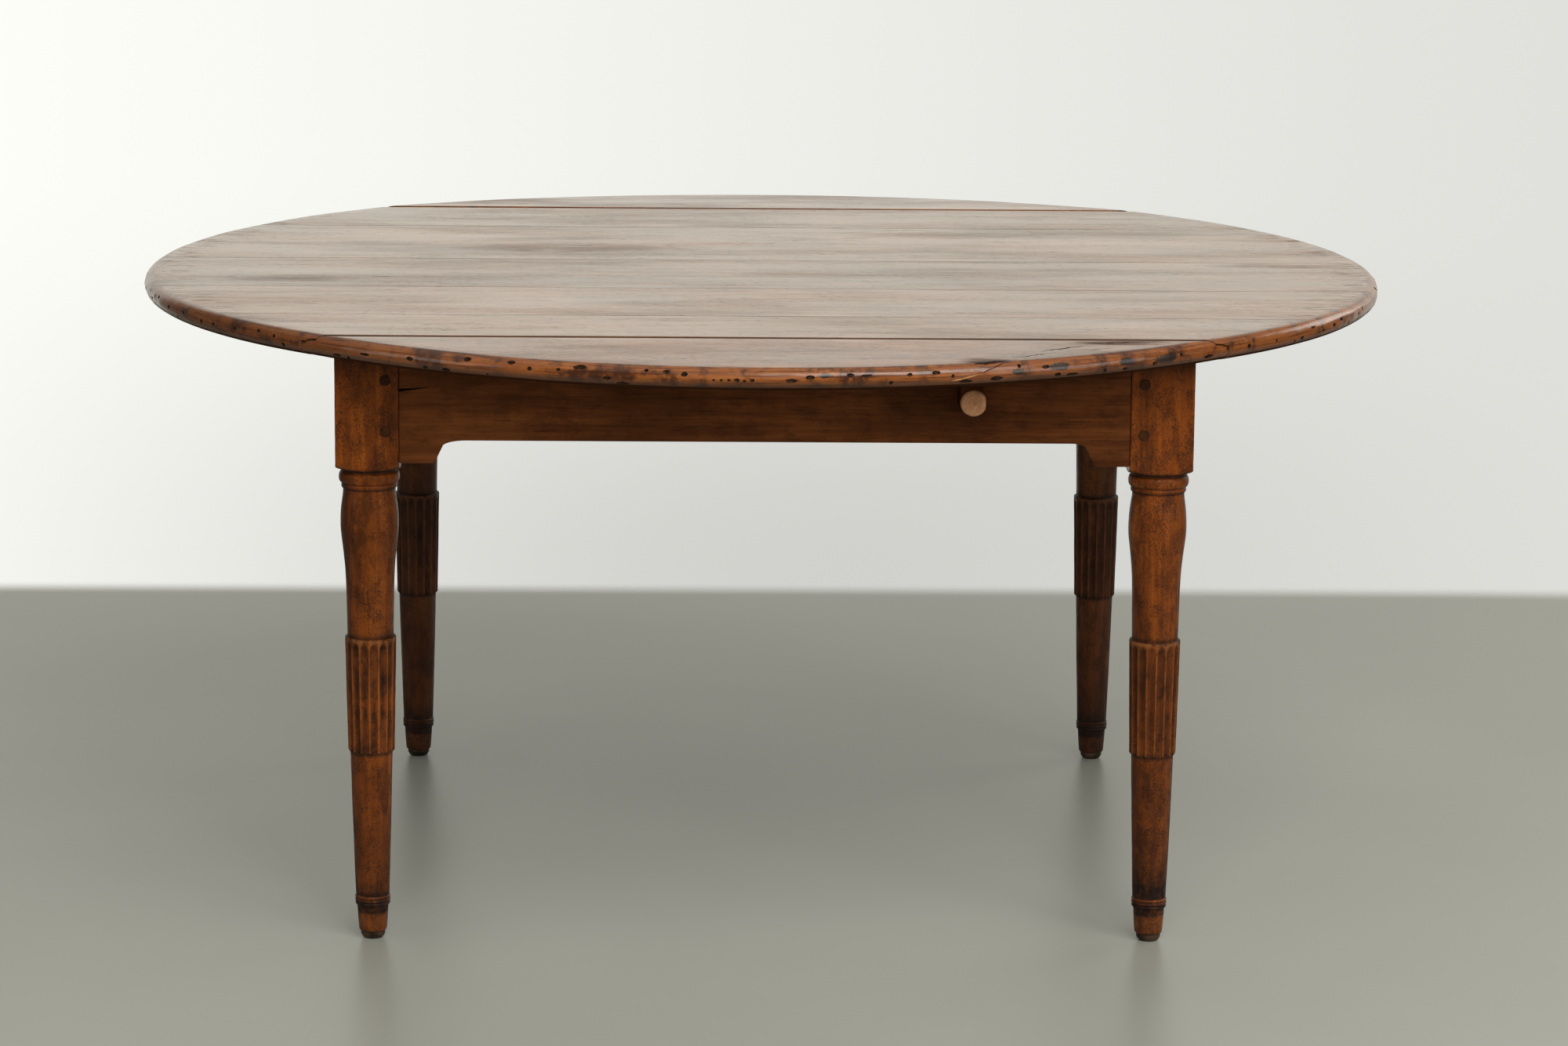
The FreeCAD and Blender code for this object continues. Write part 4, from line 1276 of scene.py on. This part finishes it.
def build_floor():
    mesh = bpy.data.meshes.new("floor")
    shape = bmesh.new()
    bmesh.ops.create_grid(shape, x_segments=floor_columns, y_segments=floor_rows, size=1.0)
    bmesh.ops.scale(shape, verts=shape.verts, vec=(floor_half_x, floor_half_y, 1.0))
    shape.to_mesh(mesh)
    shape.free()
    material = bpy.data.materials.new("pale_floor")
    g = Graph(material)
    across = g.math("POWER", g.times(g.size(g.x), fade_width_share), fade_power)
    along = g.math("POWER", g.size(g.y), fade_power)
    away = g.math("POWER", g.add(across, along), 1 / fade_power)
    cloud = g.noise(g.place, 1.3, 4.0)
    tone = g.mix(g.step(cloud, 0.3, 0.7), shaded(floor_tone, 0.96), shaded(floor_tone, 1.04))
    ground = g.node("BsdfPrincipled", {"Base Color": tone, "Roughness": 0.38, "Specular IOR Level": 0.35})
    clear = g.node("BsdfTransparent")
    fade = g.step(away, fade_start, fade_end)
    g.output(g.node("MixShader", {0: fade, 1: ground.outputs[0], 2: clear.outputs[0]}))
    mesh.materials.append(material)
    new_object("floor", mesh)


def build_world():
    """A white room on a pale ground, lit by its wall behind the table and a little from above."""
    world = bpy.data.worlds.new("room")
    bpy.context.scene.world = world
    g = Graph(world, "Generated")
    low = g.times(g.near(g.x, 0.0, 0.22), g.step(g.z, -0.12, -0.20), g.step(g.y, 0.6, 0.9), low_wall_shade)
    behind = g.step(g.add(g.y, g.times(g.most(g.x, 0.0), 0.12)), 0.78, 0.95)
    ground = g.times(g.step(g.y, 0.80, 0.45), g.step(g.z, 0.0, -0.05))
    wall = g.minus(high_wall_level, g.times(g.x, high_wall_slope))
    seen = g.add(wall_left, g.times(g.step(g.x, -wall_reach, wall_reach), wall_right - wall_left))
    seen = g.times(seen, g.minus(1.0, low))
    seen = g.blend(g.step(g.z, -0.06, 0.02), seen, wall)
    seen = g.blend(ground, seen, ground_level)
    room = g.most(g.blend(behind, room_dim, wall), g.times(g.step(g.z, 0.35, 0.9), ceiling_level))
    path = g.node("LightPath").outputs
    shown = g.most(path["Is Camera Ray"], path["Is Transmission Ray"], g.times(path["Is Glossy Ray"], behind))
    tint = g.mix(path["Is Camera Ray"], room_tint, g.mix(ground, wall_tint, ground_tint))
    g.output(g.node("Background", {"Strength": g.blend(shown, room, seen), "Color": tint}), "OutputWorld")


def build_lamps():
    """Soft lamps; level is how bright each alone makes a white surface that faces it."""
    for name, place, level, width, height, mirrored in lamps:
        data = bpy.data.lights.new(f"{name}_lamp", "AREA")
        data.shape = "RECTANGLE"
        data.size = width
        data.size_y = height
        away = Vector(place) - aim
        data.color = lamp_tint
        data.energy = level * pi ** 2 * away.length_squared
        lamp = new_object(f"{name}_lamp", data)
        lamp.location = place
        lamp.visible_camera = False
        lamp.visible_glossy = mirrored
        lamp.rotation_euler = away.to_track_quat("Z", "Y").to_euler()


def build_camera():
    forward = Vector((sin(camera_pan) * cos(camera_tilt), cos(camera_pan) * cos(camera_tilt),
                      -sin(camera_tilt)))
    level = Vector((cos(camera_pan), -sin(camera_pan), 0))
    down = forward.cross(level)
    right = level * cos(camera_roll) + down * sin(camera_roll)
    down = down * cos(camera_roll) - level * sin(camera_roll)
    data = bpy.data.cameras.new("camera")
    data.sensor_width = sensor_width
    data.lens = focal_pixels / frame_width * sensor_width
    camera = new_object("camera", data)
    turn = Matrix((right, -down, -forward)).transposed().to_4x4()
    camera.matrix_world = Matrix.Translation(camera_place) @ turn
    bpy.context.scene.camera = camera


def build_table():
    dark = make_dark("dark_wood")
    build_top(dark)
    turned = {"pore_scale": (330.0, 760.0), "pore_amount": 0.5, "worm_share": 0.14, "rough": 0.36,
              "gloss": 0.22, "patina": 0.62, "marks": leg_marks}
    sawn = {"pore_scale": (30.0, 520.0), "pore_amount": 0.3, "worm_share": 0.04, "rough": 0.42, "gloss": 0.12,
            "blotch": 0.5, "patina": 0.4}
    leg_wood = make_wood("leg_wood", "Z", leg_tones, blotch=0.5, **turned)
    # A darker copy of the leg wood for the back legs, a painted shade
    shaded_back_leg_wood = make_wood("shaded_back_leg_wood", "Z", shaded_back_leg_tones, blotch=0.6, **turned)
    side_apron = make_wood("side_apron_wood", "Y", apron_tones, **sawn)
    front_apron = make_wood("front_apron_wood", "X", apron_tones, **sawn)
    peg_wood = make_wood("peg_wood", "Y", peg_tones, rough=0.5, gloss=0.2, patina=0.5)
    knob_wood = make_wood("knob_wood", "Y", knob_tones, blotch=0.12, pore_amount=0.25, rough=0.4, gloss=0.3)
    inner_wood = make_wood("inner_wood", "Y", inner_tones, blotch=0.35, rough=0.6)
    slide_wood = make_wood("slide_wood", "Y", apron_tones, blotch=0.6, rough=0.5, gloss=0.1, patina=0.6)
    iron = make_iron("iron", (0.10, 0.095, 0.09), (0.11, 0.042, 0.018))
    glide = make_iron("glide", (0.05, 0.036, 0.024), (0.075, 0.036, 0.016))
    for names, wood in ((("front", "back"), front_apron), (("left", "right"), side_apron)):
        for name in names:
            build_apron(name, wood, dark)
    for row, sign_y, wood in (("front", -1, leg_wood), ("back", 1, shaded_back_leg_wood)):
        for end, sign_x in (("left", -1), ("right", 1)):
            build_leg(f"{row}_{end}", sign_x, sign_y, wood)
            build_pegs(f"{row}_{end}", sign_x, sign_y, peg_wood, dark)
            build_foot(f"{row}_{end}", sign_x, sign_y, glide)
    build_knob("front", -1, knob_wood, dark)
    build_knob("back", 1, knob_wood, dark)
    dress_nodes((("_slide", slide_wood), ("_slide_stop", peg_wood), (("_flaps", "_pins", "_screws"), iron),
                 (("_runner", "_keeper", "_cleat_1", "_cleat_2"), inner_wood)))


bpy.context.scene.view_settings.view_transform = "Standard"
build_table()
build_floor()
build_world()
build_lamps()
build_camera()
